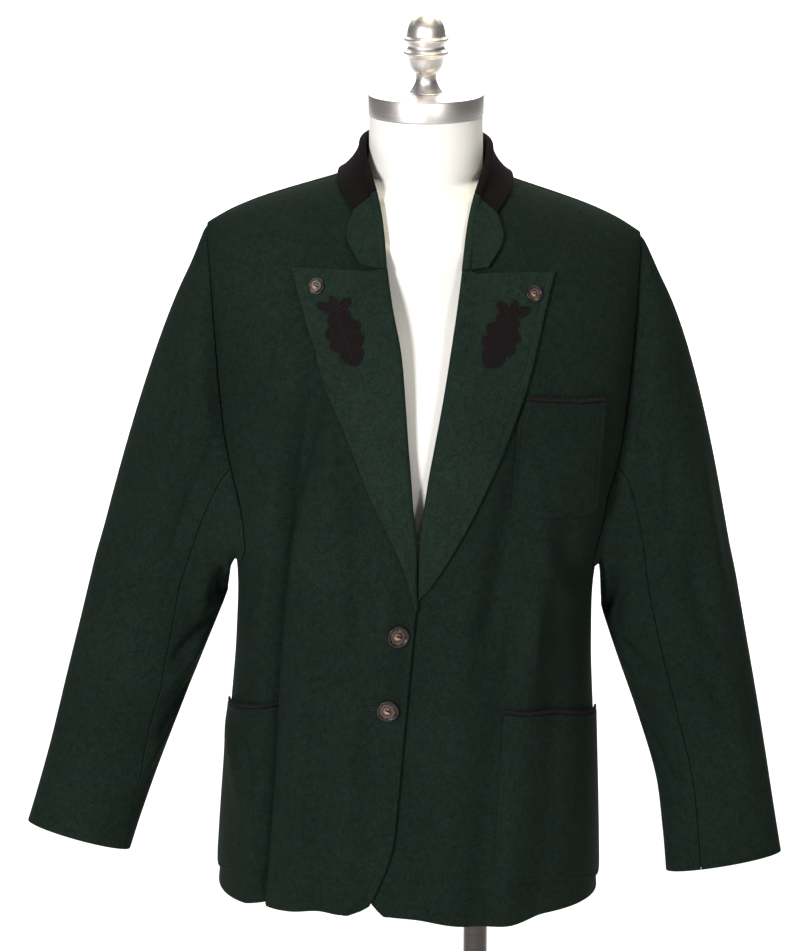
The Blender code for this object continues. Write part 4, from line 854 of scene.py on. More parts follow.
def right_edge(z):
    """x where the right front ends: its edge, then its roll line."""
    turn = ease((z - BREAK_Z - RIGHT_OVER[0]) / RIGHT_OVER[1])
    return blend(z, EDGE_TOP, 1) * (1 - turn) - (roll_x(-1, z) + roll_in(z)) * turn


def left_edge(z):
    """x where the left front ends; it runs on under the right one."""
    turn = ease((z - BREAK_Z - LEFT_OVER[0]) / LEFT_OVER[1])
    return blend(z, EDGE_UNDER, 1) * (1 - turn) + (roll_x(1, z) + roll_in(z)) * turn


def step(phi, row, distance):
    """The change in phi that covers a distance along a row."""
    here = plain_point(phi, row_v(phi, row))
    there = plain_point(phi + SMALL_TURN, row_v(phi + SMALL_TURN, row))
    far = np.maximum(np.linalg.norm(there - here, axis=-1), LEAST_STEP)
    return distance * SMALL_TURN / far


# distances from an edge: close together where its stitching runs
NEAR_EDGE = np.array([0.0, 0.0012, 0.0026, 0.0040, 0.0050, 0.0056, 0.0062, 0.0070,
                      0.0080, 0.0095, 0.0120])
EDGE_COLS = len(NEAR_EDGE)
STITCH_COL = int(np.argmin(abs(NEAR_EDGE - TOPSTITCH)))


def columns(*spans):
    """Columns of phi: each span is its first and last phi and their count,
    and leaves out the first, which the columns before it already have."""
    return [np.linspace(first, last, count, axis=1)[:, 1:] for first, last, count in spans]


def front_grid(side):
    """phi and v of a front's grid; side is -1 for the wearer's right."""
    edge, part = (right_edge, "right") if side < 0 else (left_edge, "left")
    inner = edge_phi(ROWS, edge)
    outer = side * cover(ROWS, part)
    outer = outer - side * np.minimum(step(outer, ROWS, SEAM / 2), SEAM_TURN)
    close = inner[:, None] + side * step(inner, ROWS, 1.0)[:, None] * NEAR_EDGE
    if side < 0:
        z = np.minimum(row_z(inner, ROWS), DEEP_FOLD[0][0])
        fold = place_of(blend(z, DEEP_FOLD, 1), z)[0]
        half = FOLD_WIDTH / 2 + 0.002
        across = np.linspace(half, -half, FOLD_COLS)
        near = fold[:, None] + step(fold, ROWS, 1.0)[:, None] * across
        middle, = columns((close[:, -1], near[:, 0], RIGHT_COLS[0]))
        rest, = columns((near[:, -1], outer, RIGHT_COLS[1]))
        phi = np.concatenate([close, middle[:, :-1], near, rest], axis=1)
    else:
        knee = np.full_like(inner, side * KNEE)
        spans = columns((close[:, -1], knee, LEFT_COLS[0]), (knee, outer, LEFT_COLS[1]))
        phi = np.concatenate([close, *spans], axis=1)
    return phi, row_v(phi, ROWS[:, None] * np.ones_like(phi))


def back_grid():
    """phi and v of the back's grid, from one side seam to the other."""
    reach = cover(ROWS, "back")
    reach = reach - np.minimum(step(math.pi - reach, ROWS, SEAM / 2), SEAM_TURN)
    knee = np.full_like(reach, KNEE)
    spans = columns((0 * knee, knee, BACK_COLS[0]), (knee, reach, BACK_COLS[1]))
    half = np.concatenate([0 * reach[:, None], *spans], axis=1)
    phi = math.pi + np.concatenate([-half[:, :0:-1], half], axis=1)
    phi = np.where(phi > math.pi, phi - 2 * math.pi, phi)
    return phi, row_v(phi, ROWS[:, None] * np.ones_like(phi))


class Sheet:
    """A panel's grid: its angles, outside points and outward directions."""

    def __init__(self, surface, phi, v):
        self.phi, self.v, self.points = phi, v, surface(phi, v)
        self.n = sheet_normals(self.points, normal_of(plain_point, phi, v))

    def at(self, row, col):
        """Point and direction at a place between the grid's own points."""
        rows, cols = self.phi.shape
        i = np.clip(np.floor(row).astype(int), 0, rows - 2)
        j = np.clip(np.floor(col).astype(int), 0, cols - 2)
        a, b = (row - i)[..., None], (col - j)[..., None]

        def mix(g):
            return ((g[i, j] * (1 - b) + g[i, j + 1] * b) * (1 - a)
                    + (g[i + 1, j] * (1 - b) + g[i + 1, j + 1] * b) * a)
        return mix(self.points), mix(self.n)

    def edge_at(self, z):
        """Point and direction on the first column at a height."""
        heights = self.points[:, 0, 2]
        row = np.interp(z, heights, np.arange(len(heights)))
        return self.at(np.asarray(row), np.zeros(()))


FRONTS = {-1: Sheet(body_point, *front_grid(-1)), 1: Sheet(left_point, *front_grid(1))}
BACK = Sheet(body_point, *back_grid())


def stitch_dent(distance):
    """Depth of the dent beside an edge's stitching, and the puff outside."""
    dent = GROOVE * np.exp(-(((distance - TOPSTITCH) / GROOVE_WIDE) ** 2))
    puff = ease(distance / 0.002) * ease((PUFF_END - distance) / 0.002)
    return dent - PUFF * GROOVE * puff


def cloth(node, outside, n, thick, mat, area, slot="green_loden"):
    """A sheet of cloth that stands for its CAD node."""
    obj = shell(node + "_cloth", outside, n, thick, mat, slot, node)


def build_body():
    """Two fronts, the left one under the right one, and the back."""
    for name, sheet in (("front_right", FRONTS[-1]), ("front_left", FRONTS[1]),
                        ("back", BACK)):
        grid = sheet.points.copy()
        if sheet is not BACK:
            below = ease((BREAK_Z - 0.002 - grid[:, 0, 2]) / 0.02)[:, None]
            dent = (stitch_dent(NEAR_EDGE) * below)[..., None]
            grid[:, :EDGE_COLS] -= sheet.n[:, :EDGE_COLS] * dent
        cloth(name, grid, sheet_normals(grid, sheet.n), CLOTH, LODEN, grid_area(grid))


# ================================================================ lapels
def roll_turn(edge, out, n, radius):
    """Middle layer of a turn over a front's edge, and its face directions:
    from beside the edge, round towards the middle, to above the front."""
    low = -CLOTH / 2
    points, faces = [edge - out * SEAM + n * low], [-n]
    for angle in np.radians(np.linspace(-90, -270, TURN_STEPS)):
        c, s = math.cos(angle), math.sin(angle)
        points.append(edge + out * (radius * c - TURN_IN) + n * (low + radius * (1 + s)))
        faces.append(out * c + n * s)
    return points, faces


def lapel_height(u, z):
    """Height of a lapel's middle layer over the front, roll to edge."""
    high = 2 * turn_radius(z) - CLOTH / 2
    low = LAY + TURNED / 2 + LAPEL_OFF * ease((z - BREAK_Z) / OFF_TALL)
    high, u = np.maximum(high, low), np.asarray(u, float)
    soft = LAPEL_SWELL * np.sin(math.pi * np.clip(u, 0, 1)) ** 2
    soft = soft * ease((SWELL_TOP - z) / SWELL_TALL) * ease((z - BREAK_Z) / SWELL_LOW)
    return high + (low - high) * ease(u * 1.15) + soft


def lapel_thick(z):
    """Thickness of a lapel: it starts thin at the break."""
    return LAPEL_THIN + (TURNED - LAPEL_THIN) * ease((z - BREAK_Z) / THIN_TALL)


def lapel_edge(side, w):
    """x and z of a lapel's outer edge, a share of the way up."""
    first = 1 if side < 0 else 3
    return blend(w, LAPEL, first), blend(w, LAPEL, first + 1)


def lapel_grid(side):
    """Middle layer, face directions and thickness of a lapel."""
    w = np.linspace(0, 1, LAPEL_ROWS)
    levels = BREAK_Z + (GORGE_Z - BREAK_Z) * w
    rise = LAPEL_RISE * ease((w - 0.96) / 0.04)
    turn_z = levels + rise
    edge_x = side * (roll_x(side, turn_z) + roll_in(turn_z))
    edge = over_front(side, edge_x, turn_z, 0.0)
    n = out_of_front(side, edge_x, turn_z)
    out = unit(np.cross(np.array([0, 0, 1.0]), n)) * side
    rounds = [roll_turn(*row) for row in zip(edge, out, n, turn_radius(turn_z))]
    turn, face = (np.array(part) for part in zip(*rounds))
    starts = np.stack([side * turn[:, -1, 0], levels], -1)
    ends = np.stack(lapel_edge(side, w), -1)
    width = np.linalg.norm(ends - starts, axis=1)[:, None]
    last = np.minimum(NEAR_EDGE[::-1] / width, 0.9 - 0.05 * np.arange(EDGE_COLS))
    head = np.linspace(0, 1, LAPEL_COLS)[None, 1:-2] * (1 - last[:, :1])
    u = np.concatenate([head, 1 - last], axis=1)
    place = starts[:, None] + (ends - starts)[:, None] * u[..., None]
    x, z = side * place[..., 0], place[..., 1]
    z = z + rise[:, None] * np.exp(-((u * width / RISE_WIDE) ** 2))
    dent = stitch_dent((1 - u) * width) * ease((width - 0.010) / 0.01)
    flat = over_front(side, x, z, lapel_height(u, levels[:, None]) - dent * LAPEL_DENT)
    rough = normal_of(plain_point, *place_of(x, z))
    thick = lapel_thick(levels)[:, None] * np.ones(turn.shape[1] + u.shape[1])
    return np.concatenate([turn, flat], 1), np.concatenate([face, rough], 1), thick


def on_lapel(side, x, z, out=0.0):
    """A point on a lapel's face at x, z, moved out."""
    x, z = np.broadcast_arrays(np.asarray(x, float), np.asarray(z, float))
    heights = [row[2 if side < 0 else 4] for row in LAPEL]
    widths = [row[1 if side < 0 else 3] for row in LAPEL]
    roll = roll_x(side, z)
    u = (np.abs(x) - roll) / (np.interp(z, heights, widths) - roll)
    return over_front(side, x, z, lapel_height(u, z) + TURNED / 2 + out)


def build_lapels():
    """The turned-back tops of the two fronts."""
    for side, name in SIDES:
        middle, face, thick = lapel_grid(side)
        n = true_faces(middle, face)
        # the lapel's loden is painted lighter, as where light falls on it
        cloth("lapel_" + name, middle + n * thick[..., None] / 2, n, thick,
              LAPEL_LODEN_PAINTED_LIT, grid_area(middle))


# ================================================================ collar
def neck_seam(q):
    """Point and direction where the collar's stand starts: round the back's
    top edge, then down the front's edge to the gorge."""
    last = np.array(len(ROWS) - 1.0)
    if q <= NECK_SIDE:
        cols = np.arange(BACK.phi.shape[1] // 2, -1, -1.0)
        line = BACK.at(np.full_like(cols, last), cols)[0]
        x = NECK_SEAM_R * math.sin(q * math.pi)
        return BACK.at(last, np.array(np.interp(x, line[:, 0], cols)))
    gorge = FRONTS[1].edge_at(GORGE_Z + GORGE_GAP)[0]
    y = min(0.0, float(blend(q, COLLAR, 2)) * gorge[1] / COLLAR[-1][2])
    line = FRONTS[1].points[::-1, 0]
    row = np.interp(-y, -line[:, 1], np.arange(len(line)))
    return FRONTS[1].at(np.array(len(line) - 1.0 - row), np.zeros(()))


def collar_section(q):
    """Middle layer and rough face directions of the collar at q: its stand,
    the turn at the top and the fall."""
    row = [float(blend(q, COLLAR, k)) for k in range(1, 7)]
    roll, edge = np.array(row[:3]), np.array(row[3:])
    seam, n = neck_seam(q)
    run = (neck_seam(min(q + COLLAR_LOOK, 1.0))[0]
           - neck_seam(max(q - COLLAR_LOOK, 0.0))[0])
    if q == 0:
        run = np.array([1.0, 0, 0])
    way = unit(np.cross(run, n))
    start = seam + way * (3 * SEAM + TURNED / 2) - n * CLOTH * STAND_IN
    up = unit(roll - start)
    out = edge - roll
    out = unit(out - up * np.dot(out, up))
    centre = roll - up * TURN_R + out * TURN_R
    foot = centre - out * TURN_R
    tall = max(np.dot(foot - start, up), STAND_LOW)
    points = [foot - up * tall * (1 - t)
              for t in np.linspace(0, 1, STAND_STEPS + 1)[:-1]]
    faces = [-out] * STAND_STEPS
    for a in np.radians(np.linspace(0, 180, COLLAR_TURN_STEPS)):
        faces.append(-out * math.cos(a) + up * math.sin(a))
        points.append(centre + faces[-1] * TURN_R)
    begin = points[-1]
    pull = begin - up * COLLAR_PULL * np.linalg.norm(edge - begin)
    for t in FALL[1:]:
        points.append(bow(begin, pull, edge, t))
        run = (pull - begin) * (1 - t) + (edge - pull) * t
        face = unit(np.cross(run, np.cross(out, up)))
        faces.append(face * (1 if np.dot(face, out) > 0 else -1))
    return np.array(points), np.array(faces)


def true_faces(middle, rough):
    """Face directions of a sheet's middle layer, on the rough one's side."""
    n = unit(np.cross(np.gradient(middle, axis=0), np.gradient(middle, axis=1)))
    return n * np.sign(np.sum(n * rough))


def collar_grid(shares):
    """Middle layer and face directions of the collar at several shares."""
    middle, face = (np.array(part) for part in
                    zip(*(collar_section(float(q)) for q in shares)))
    first = STAND_STEPS + COLLAR_TURN_STEPS
    middle[:, first:] = lift(middle[:, first:], TURNED / 2 + COLLAR_GAP)
    for _ in range(COLLAR_SMOOTH):
        middle[1:-1] += (middle[2:] + middle[:-2] - 2 * middle[1:-1]) / 4
    return middle, face


def build_collar():
    """Black felt round the back, green loden at each front end."""
    gap = SEAM / COLLAR_RUN
    middle, face = collar_grid(np.linspace(0.0, FELT_END - gap / 2, COLLAR_COLS))
    mirror = np.array([-1, 1, 1])
    pieces = [("back", np.concatenate([middle[:0:-1] * mirror, middle]),
               np.concatenate([face[:0:-1] * mirror, face]), BLACK, "black_felt")]
    middle, face = collar_grid(np.linspace(FELT_END + gap / 2, 1.0, COLLAR_FRONT_COLS))
    for side, name in SIDES:
        turn = np.array([side, 1, 1])
        # the collar's green ends take the loden painted lighter, as where light falls on them
        pieces.append((f"front_{name}", middle * turn, face * turn, LAPEL_LODEN_PAINTED_LIT,
                       "green_loden"))
    for name, middle, face, mat, slot in pieces:
        n = true_faces(middle, face)
        cloth("collar_" + name, middle + n * TURNED / 2, n, TURNED, mat,
              grid_area(middle), slot)


# ================================================================ sleeves
def armhole(side, inset=0, of="points"):
    """One armhole from the shoulder round the front, the underarm and up the
    back: the panels' points, or their directions, some columns in."""
    front, back = (sheet.points if of == "points" else sheet.n
                   for sheet in (FRONTS[side], BACK))
    front = front[FIRST_ARM:, -1 - inset][::-1]
    back = back[FIRST_ARM:, inset if side > 0 else -1 - inset]
    under, top = (front[-1] + back[0]) / 2, (front[0] + back[-1]) / 2
    return np.array([top, *front[1:-1], under, *back[1:-1]])


def sleeve_ring(side, s, angle):
    """A ring of the lower sleeve: s is 0 at the armpit, 1 at the cuff."""
    table = [(i / (len(SLEEVE[side]) - 1), *row) for i, row in enumerate(SLEEVE[side])]
    ox, oz, ix, iz, deep, y = (float(blend(s, table, k)) for k in range(1, 7))
    middle = np.array([(ox + ix) / 2, y, (oz + iz) / 2])
    out = np.array([(ox - ix) / 2, 0, (oz - iz) / 2])
    return (middle + np.cos(angle)[:, None] * out
            + np.sin(angle)[:, None] * np.array([0, -deep, deep * RING_TILT * s]))


def seam_turn(side, s, angle):
    """Angles of a ring whose forearm seam wanders on its way down."""
    seam = np.radians(np.interp(s, (0, 0.5, 1), FOREARM_SEAM[side]))
    start = math.radians(FOREARM_SEAM[side][0])
    back = math.radians(BACK_SEAM)
    return np.interp(angle, (0, start, back, 2 * math.pi),
                     (0, seam, back, 2 * math.pi))


def ring_angles(ring):
    """Angles of an armhole's points: half a turn down the front, half up."""
    gaps = np.linalg.norm(ring - np.roll(ring, 1, 0), axis=1)
    half = int(np.argmin(ring[:, 2]))
    angle = np.zeros(len(ring))
    angle[:half + 1] = np.cumsum(np.r_[0, gaps[1:half + 1]])
    angle[:half + 1] *= math.pi / angle[half]
    rest = np.cumsum(gaps[half + 1:])
    angle[half + 1:] = math.pi + rest * math.pi / (rest[-1] + gaps[0])
    return angle


def even_ring(side, inset=0, of="points"):
    """The armhole's points spread evenly over its two halves."""
    known = np.r_[ring_angles(armhole(side)), 2 * math.pi]
    ring = armhole(side, inset, of)
    return read_at(turns(RING_POINTS), known, np.concatenate([ring, ring[:1]]))


def sleeve_grid(side):
    """Outside of a sleeve: rings from the armhole to the cuff."""
    ring, angle = even_ring(side), turns(RING_POINTS)
    out, fore, down, stiff = CAP_START[side]
    top = (1 + np.cos(angle)) / 2
    start = unit(np.stack([side * np.full_like(top, out), -fore * np.sin(angle),
                           -down * top], -1))
    first = ring + start * SEAM
    last = sleeve_ring(side, 0.0, angle)
    way = unit(sleeve_ring(side, CAP_LOOK, angle) - last)
    pull = stiff * np.linalg.norm(last - first, axis=1, keepdims=True)
    grid = [hermite(t, first, last, pull * start, pull * way)
            for t in np.linspace(0, 1, CAP_RINGS + 1)[:-1]]
    grid += [sleeve_ring(side, s, seam_turn(side, s, angle))
             for s in np.linspace(0, 1, LOW_RINGS + 1)]
    grid = np.array(grid)
    k = np.arange(len(grid))[:, None]
    share = ease(k / SMOOTH_ON) * ease((CAP_RINGS + SMOOTH_PAST - k) / SMOOTH_OFF)
    share = (share / 4)[..., None]
    for _ in range(CAP_SMOOTH):
        grid += share * (np.roll(grid, 1, 1) + np.roll(grid, -1, 1) - 2 * grid)
    head = ease(k / HEAD_ON) * ease((CAP_RINGS - k) / HEAD_OFF)
    grid[..., 1] -= HEAD_FULL * head * np.sin(angle) * np.sqrt(np.maximum(np.cos(angle), 0))
    return grid, angle


def ring_normals(grid):
    """Outward normals of a grid whose columns close into a ring."""
    across = np.roll(grid, -1, 1) - np.roll(grid, 1, 1)
    n = unit(np.cross(across, np.gradient(grid, axis=0)))
    return n * np.sign(np.sum(n * (grid - grid.mean(1, keepdims=True)), -1).mean())


def sleeve_creases(side, grid, angle):
    """Push a sleeve's creases in and out, fading at the armhole."""
    runs = np.linalg.norm(np.diff(grid, axis=0), axis=2).mean(1)
    along = np.r_[0, np.cumsum(runs)]
    share, turn = np.meshgrid(along / along[-1], np.degrees(angle), indexing="ij")
    high = creases(share, turn, SLEEVE_CREASES[side], (along[-1], SLEEVE_DEGREE))
    high = high * ease(share / 0.05) * ease((1.02 - share) / 0.06)
    return grid + ring_normals(grid) * high[..., None]


def seam_tape(name, grid, n):
    """The pressed-open allowance inside a seam, so that no light passes."""
    shell(name, grid - n * (CLOTH + TAPE_GAP), n, TAPE, LODEN)


def shoulder_tape(side, name):
    """The allowance under one shoulder seam, from the neck to the armhole."""
    def row(sheet, k):
        x = sheet.points[k, :, 0] * side
        order = np.argsort(x)
        both = np.concatenate([sheet.points[k], sheet.n[k]], axis=-1)[order]
        return read_at(SHOULDER_TAPE, x[order], both)

    front = [row(FRONTS[side], k) for k in (-7, -4, -1)]
    back = [row(BACK, k) for k in (-1, -4, -7)]
    both = np.array([*front, (front[-1] + back[0]) / 2, *back])
    seam_tape(f"shoulder_tape_{name}", both[..., :3], unit(both[..., 3:]))


def armhole_tape(side, name, grid, n):
    """The allowance round one armhole: on the panels and on the sleeve."""
    rows = [even_ring(side, inset) for inset in (5, 3, 1)]
    rows += [(even_ring(side) + grid[0]) / 2, grid[1], grid[2], grid[4]]
    faces = [even_ring(side, inset, "n") for inset in (5, 3, 1)]
    faces += [unit(even_ring(side, 0, "n") + n[1]), n[1], n[2], n[4]]
    ring, face = np.array(rows), unit(np.array(faces))
    seam_tape(f"armhole_tape_{name}", *(np.concatenate([part, part[:, :1]], axis=1)
                                        for part in (ring, face)))


def build_sleeves():
    """An upper and an under sleeve on each side."""
    for side, name in SIDES:
        grid, angle = sleeve_grid(side)
        grid = sleeve_creases(side, grid, angle)
        n = ring_normals(grid)
        armhole_tape(side, name, grid, n)
        shoulder_tape(side, name)
        a, b = (int(np.argmin(abs(angle - math.radians(seam))))
                for seam in (FOREARM_SEAM[side][0], BACK_SEAM))
        for seam, k in (("forearm", a), ("elbow", b)):
            strip = slice(k - 2, k + 3)
            seam_tape(f"{seam}_tape_{name}", grid[2:-1, strip], n[2:-1, strip])
        pieces = (("under", list(range(a, b + 1))),
                  ("upper", [*range(b, len(angle)), *range(0, a + 1)]))
        for piece, cols in pieces:
            part, face = grid[:, cols].copy(), n[:, cols].copy()
            for end, near in ((0, 1), (-1, -2)):
                way = part[:, near] - part[:, end]
                far = np.linalg.norm(way, axis=1, keepdims=True)
                part[:, end] += way / far * np.minimum(SEAM / 2, far * 0.3)
            cloth(f"sleeve_{name}_{piece}", part, face, CLOTH, LODEN, grid_area(part))


# ================================================================ pockets
def hip_top(phi):
    """Height of a hip pocket's top edge."""
    return blend(np.abs(np.degrees(phi)), HIP_TOP, 1)


def spread(length, corner, open_start=False):
    """Distances across a pocket: close together near its edges."""
    arc = corner * (1 - np.cos(np.radians(np.linspace(0, 90, 22))))
    edge = np.unique(np.round(np.concatenate([NEAR_EDGE, arc]), 5))
    edge = edge[np.r_[True, np.diff(edge) > 0.0002]]
    middle = np.arange(edge[-1] + POCKET_CELL, length - edge[-1] - 0.002, POCKET_CELL)
    start = np.arange(0, edge[-1], POCKET_CELL) if open_start else edge
    return np.concatenate([start, middle, (length - edge)[::-1]])


def pocket_grid(side, inner, outer, bottom, top, corner, open_start=False):
    """phi, z and distance from the edge of a pocket's grid; inner and outer
    give phi at a height, bottom and top a height at phi."""
    z_mid = float(bottom(0.8) + top(0.8)) / 2
    start, end = inner(np.array(z_mid)), outer(np.array(z_mid))
    path = np.linspace(start, end, 80)
    run = run_of(SURFACE[side](path, place_v(path, z_mid)))
    width, tall = float(run[-1]), float(top(0.8) - bottom(0.8))
    up = np.concatenate([NEAR_EDGE, np.arange(0.016, tall - 0.014, POCKET_CELL),
                         (tall - NEAR_EDGE)[::-1]]) / tall
    way, share = np.meshgrid(spread(width, corner, open_start), up)
    phi_mid = np.interp(way, run, path)
    floor, high = bottom(np.abs(phi_mid)), top(np.abs(phi_mid))
    ends = (width - way,) if open_start else (way, width - way)
    low = floor.copy()
    for near in ends:
        down = np.clip(corner - near, 0, corner)
        low += corner - np.sqrt(np.maximum(corner**2 - down**2, 0))
    z = low + (high - low) * share
    a, b = inner(z), outer(z)
    phi = a + (b - a) * (phi_mid - start) / (end - start)
    edge = np.minimum(high - z, z - floor)
    for near in ends:
        edge = np.minimum(edge, near)
        x, y = corner - near, corner - (z - floor)
        rounded = corner - np.hypot(np.maximum(x, 0), np.maximum(y, 0))
        edge = np.where((x > 0) & (y > 0), np.minimum(rounded, high - z), edge)
    return phi, z, np.maximum(edge, 0.0)


def place_v(phi, z):
    """v of a height on the front at phi, below the shoulders."""
    phi, z = np.broadcast_arrays(np.asarray(phi, float), np.asarray(z, float))
    hem = blend(np.degrees(phi), HEM, 1)
    low = (z - hem) / (BUST_Z - hem)
    ridge = BUST_Z + 0.20
    v = np.where(z > BUST_Z, 1 + (z - BUST_Z) / (ridge - BUST_Z) / 2, low)
    for _ in range(6):
        error = z - plain_point(phi, v)[..., 2]
        v = np.where(z > BUST_Z, np.maximum(v + error / 0.33, 1.0), v)
    return v


def fold_side(z):
    """phi of the right hip pocket's hidden side, tucked under the fold."""
    z = np.asarray(z, float)
    fold = place_of(blend(z, DEEP_FOLD, 1), z)[0]
    row = (z - SIDE_HEM) / (BUST_Z - SIDE_HEM)
    return fold + step(fold, row, -TUCK)


def hip_pocket(side):
    """A hip pocket; the right one runs under the deep fold."""
    def bottom(phi):
        return hip_top(phi) - HIP_TALL

    def outer(z):
        return side * HIP_OUTER + 0 * z

    def lean(z):
        return side * np.radians(HIP_INNER - HIP_LEAN * (LEAN_Z - z) / HIP_TALL)
    inner = fold_side if side < 0 else lean
    return pocket_grid(side, inner, outer, bottom, hip_top, HIP_CORNER, side < 0)


def breast_pocket():
    """The breast pocket; its inner top corner meets the lapel's edge."""
    b = BREAST
    heights, widths = [row[4] for row in LAPEL], [row[3] for row in LAPEL]

    def slope(phi):
        return b["slope"] * (plain_point(phi, 1.0)[..., 0] - b["inner"])

    def inner(z):
        beside = np.interp(z + 0.010, heights, widths) + 0.0016
        return place_of(np.maximum(b["inner"] + 0.02 * (z - 1.2), beside), z)[0]

    def outer(z):
        return place_of(b["outer"] + 0.03 * (z - 1.2), z)[0]

    def bottom(phi):
        return b["bottom"] + slope(phi)

    def top(phi):
        return b["top"] + slope(phi)
    return pocket_grid(1, inner, outer, bottom, top, b["corner"])


def twisted_cord(along, up, out, tall, deep):
    """Points and faces of a cord of two strands wound round each other."""
    run = run_of(along)
    at = np.arange(0, run[-1], CORD_STEP)
    centre = read_at(at, run, along)
    high, face = unit(read_at(at, run, up)), unit(read_at(at, run, out))
    around = turns(8)
    strands = []
    for start in (0, math.pi):
        turn = start + at * 2 * math.pi / CORD_TWIST
        path = (centre + high * (np.sin(turn) * tall * STRAND_PATH[0])[:, None]
                + face * (np.cos(turn) * deep * STRAND_PATH[1])[:, None])
        round_up = (np.sin(around) * tall * STRAND_SIZE[0])[:, None]
        round_out = (np.cos(around) * deep * STRAND_SIZE[1])[:, None]
        rings = path[:, None] + high[:, None] * round_up + face[:, None] * round_out
        strands.append(tube(rings))
    return join(strands)


def build_pockets():
    """Three patch pockets, each with its cord; returns their stitching."""
    lines = []
    for name, side, (phi, z, edge) in (("hip_pocket_right", -1, hip_pocket(-1)),
                                       ("hip_pocket_left", 1, hip_pocket(1)),
                                       ("breast_pocket", 1, breast_pocket())):
        surface, v = SURFACE[side], place_v(phi, z)
        n, base = normal_of(surface, phi, v), surface(phi, v)
        grid = base + n * (POCKET_LAY + CLOTH - stitch_dent(edge))[..., None]
        cloth(name, grid, n, CLOTH, LODEN, grid_area(grid))
        up = unit(base[-1] - base[-3])
        middle = base[-1] + up * (TRIM_TALL + SEAM) + n[-1] * (TRIM_DEEP + LAY)
        points, faces = twisted_cord(middle, up, n[-1], TRIM_TALL, TRIM_DEEP)
        make(name + "_trim_cord", hang(points), faces, CORD, "black_felt", name + "_trim")
        lines.append(pocket_stitches(grid, n, edge))
    return lines


# ================================================================ stitching
CORNER_STITCHES = 3       # points left out where two lines of stitching meet


def crossing(points, n, distance):
    """Point and direction where a line of points gets further from the edge
    than the stitching; None where it starts further in."""
    hit = np.nonzero(distance > TOPSTITCH)[0]
    if not len(hit) or hit[0] == 0:
        return None
    k = int(hit[0])
    t = (TOPSTITCH - distance[k - 1]) / max(distance[k] - distance[k - 1], 1e-9)
    return points[k - 1] * (1 - t) + points[k] * t, n[k]


def pocket_stitches(grid, n, edge):
    """The line of a pocket's stitching: down one side, along the bottom and
    up the other."""
    rows, cols = edge.shape
    half = slice(0, rows // 2)
    bottom = [crossing(grid[half, j], n[half, j], edge[half, j])
              for j in range(1, cols - 1)]
    sides = []
    for way in (slice(0, cols // 2), slice(cols - 1, cols - 1 - cols // 2, -1)):
        sides.append([crossing(grid[i, way], n[i, way], edge[i, way])
                      for i in range(rows // 8, rows - 6)])
    first, line, last = ([spot for spot in part if spot]
                         for part in (sides[0], bottom, sides[1]))
    turn = CORNER_STITCHES
    return first[::-1][:-turn] + line[turn:-turn] + last[turn:]


def stitches(line):
    """Small capsules of thread along a line of points and directions."""
    points, normals = (np.array(part) for part in zip(*line))
    run = run_of(points)
    pitch = STITCH_LONG + STITCH_GAP
    size = STITCH_R * np.array([0.35, 0.9, 1.0, 0.9, 0.35])[:, None]
    high = STITCH_R * np.array([-1.2, 0.1, 0.4, 0.1, -1.2])[:, None]
    parts = []
    for at in np.arange(pitch, run[-1] - pitch, pitch):
        path = read_at(at + np.linspace(-0.5, 0.5, 5) * STITCH_LONG, run, points)
        out = unit(read_at(at, run, normals))
        side = np.cross(unit(path[-1] - path[0]), out)
        parts.append(tube(rings_round(path + out * high, size[..., None],
                                      out[None], side, 6)))
    return join(parts)


def build_stitching(lines):
    """Topstitching of the fronts, the lapels and the given pocket lines."""
    for side, _ in SIDES:
        sheet = FRONTS[side]
        rows = np.nonzero(sheet.points[:, 0, 2] < BREAK_Z - 0.004)[0][2:]
        points, n = sheet.points[rows, STITCH_COL], sheet.n[rows, STITCH_COL]
        lines.append(list(zip(points - n * GROOVE * 0.7, n)))
        middle, face, thick = lapel_grid(side)
        n = true_faces(middle, face)
        grid, at = middle + n * thick[..., None] / 2, -1 - STITCH_COL
        lines.append(list(zip(grid[18:-3, at], n[18:-3, at])))
    points, faces = join([stitches(line) for line in lines])
    make("topstitching", hang(points), faces, THREAD, "green_loden")


# ================================================================ trimmings
def buttonhole(name, x, z):
    """A bound buttonhole: a raised ring of close stitches round a slit."""
    t = turns(96)
    px = x + HOLE_LONG / 2 * signed(np.cos(t), 0.6)
    pz = z + HOLE_WIDE * signed(np.sin(t), 0.8)
    path, out = over_front(-1, px, pz, 0.0002), out_of_front(-1, px, pz)
    way = unit(np.roll(path, -1, 0) - np.roll(path, 1, 0))
    size = HOLE_THREAD * (1 + 0.22 * np.cos(48 * t))[:, None, None]
    rings = rings_round(path, size, out, np.cross(way, out)[:, None], 6)
    points, faces = tube(np.concatenate([rings, rings[:1]]), False)
    make(name, hang(points), faces, THREAD, "green_loden")


# radius and height of a button's face, in shares of its radius
BUTTON_FACE = ((0.04, 0.10), (0.50, 0.10), (0.86, 0.13), (0.97, 0.19),
               (1.00, 0.27), (0.985, 0.34), (0.93, 0.385), (0.85, 0.385),
               (0.78, 0.345), (0.72, 0.285), (0.64, 0.255), (0.45, 0.245),
               (0.25, 0.250), (0.02, 0.252))
SLOT_TURN = math.radians(20)
LEAF_RISE = 0.00060       # height of a leaf's embroidery
OUTLINE_IN, OUTLINE_WIDE = 0.0009, 0.0007  # its outline's place and half width
VEIN_WIDE, RIB_WIDE = 0.0008, 0.0007
THREAD_APART = 0.045      # of a button's radius, from its middle


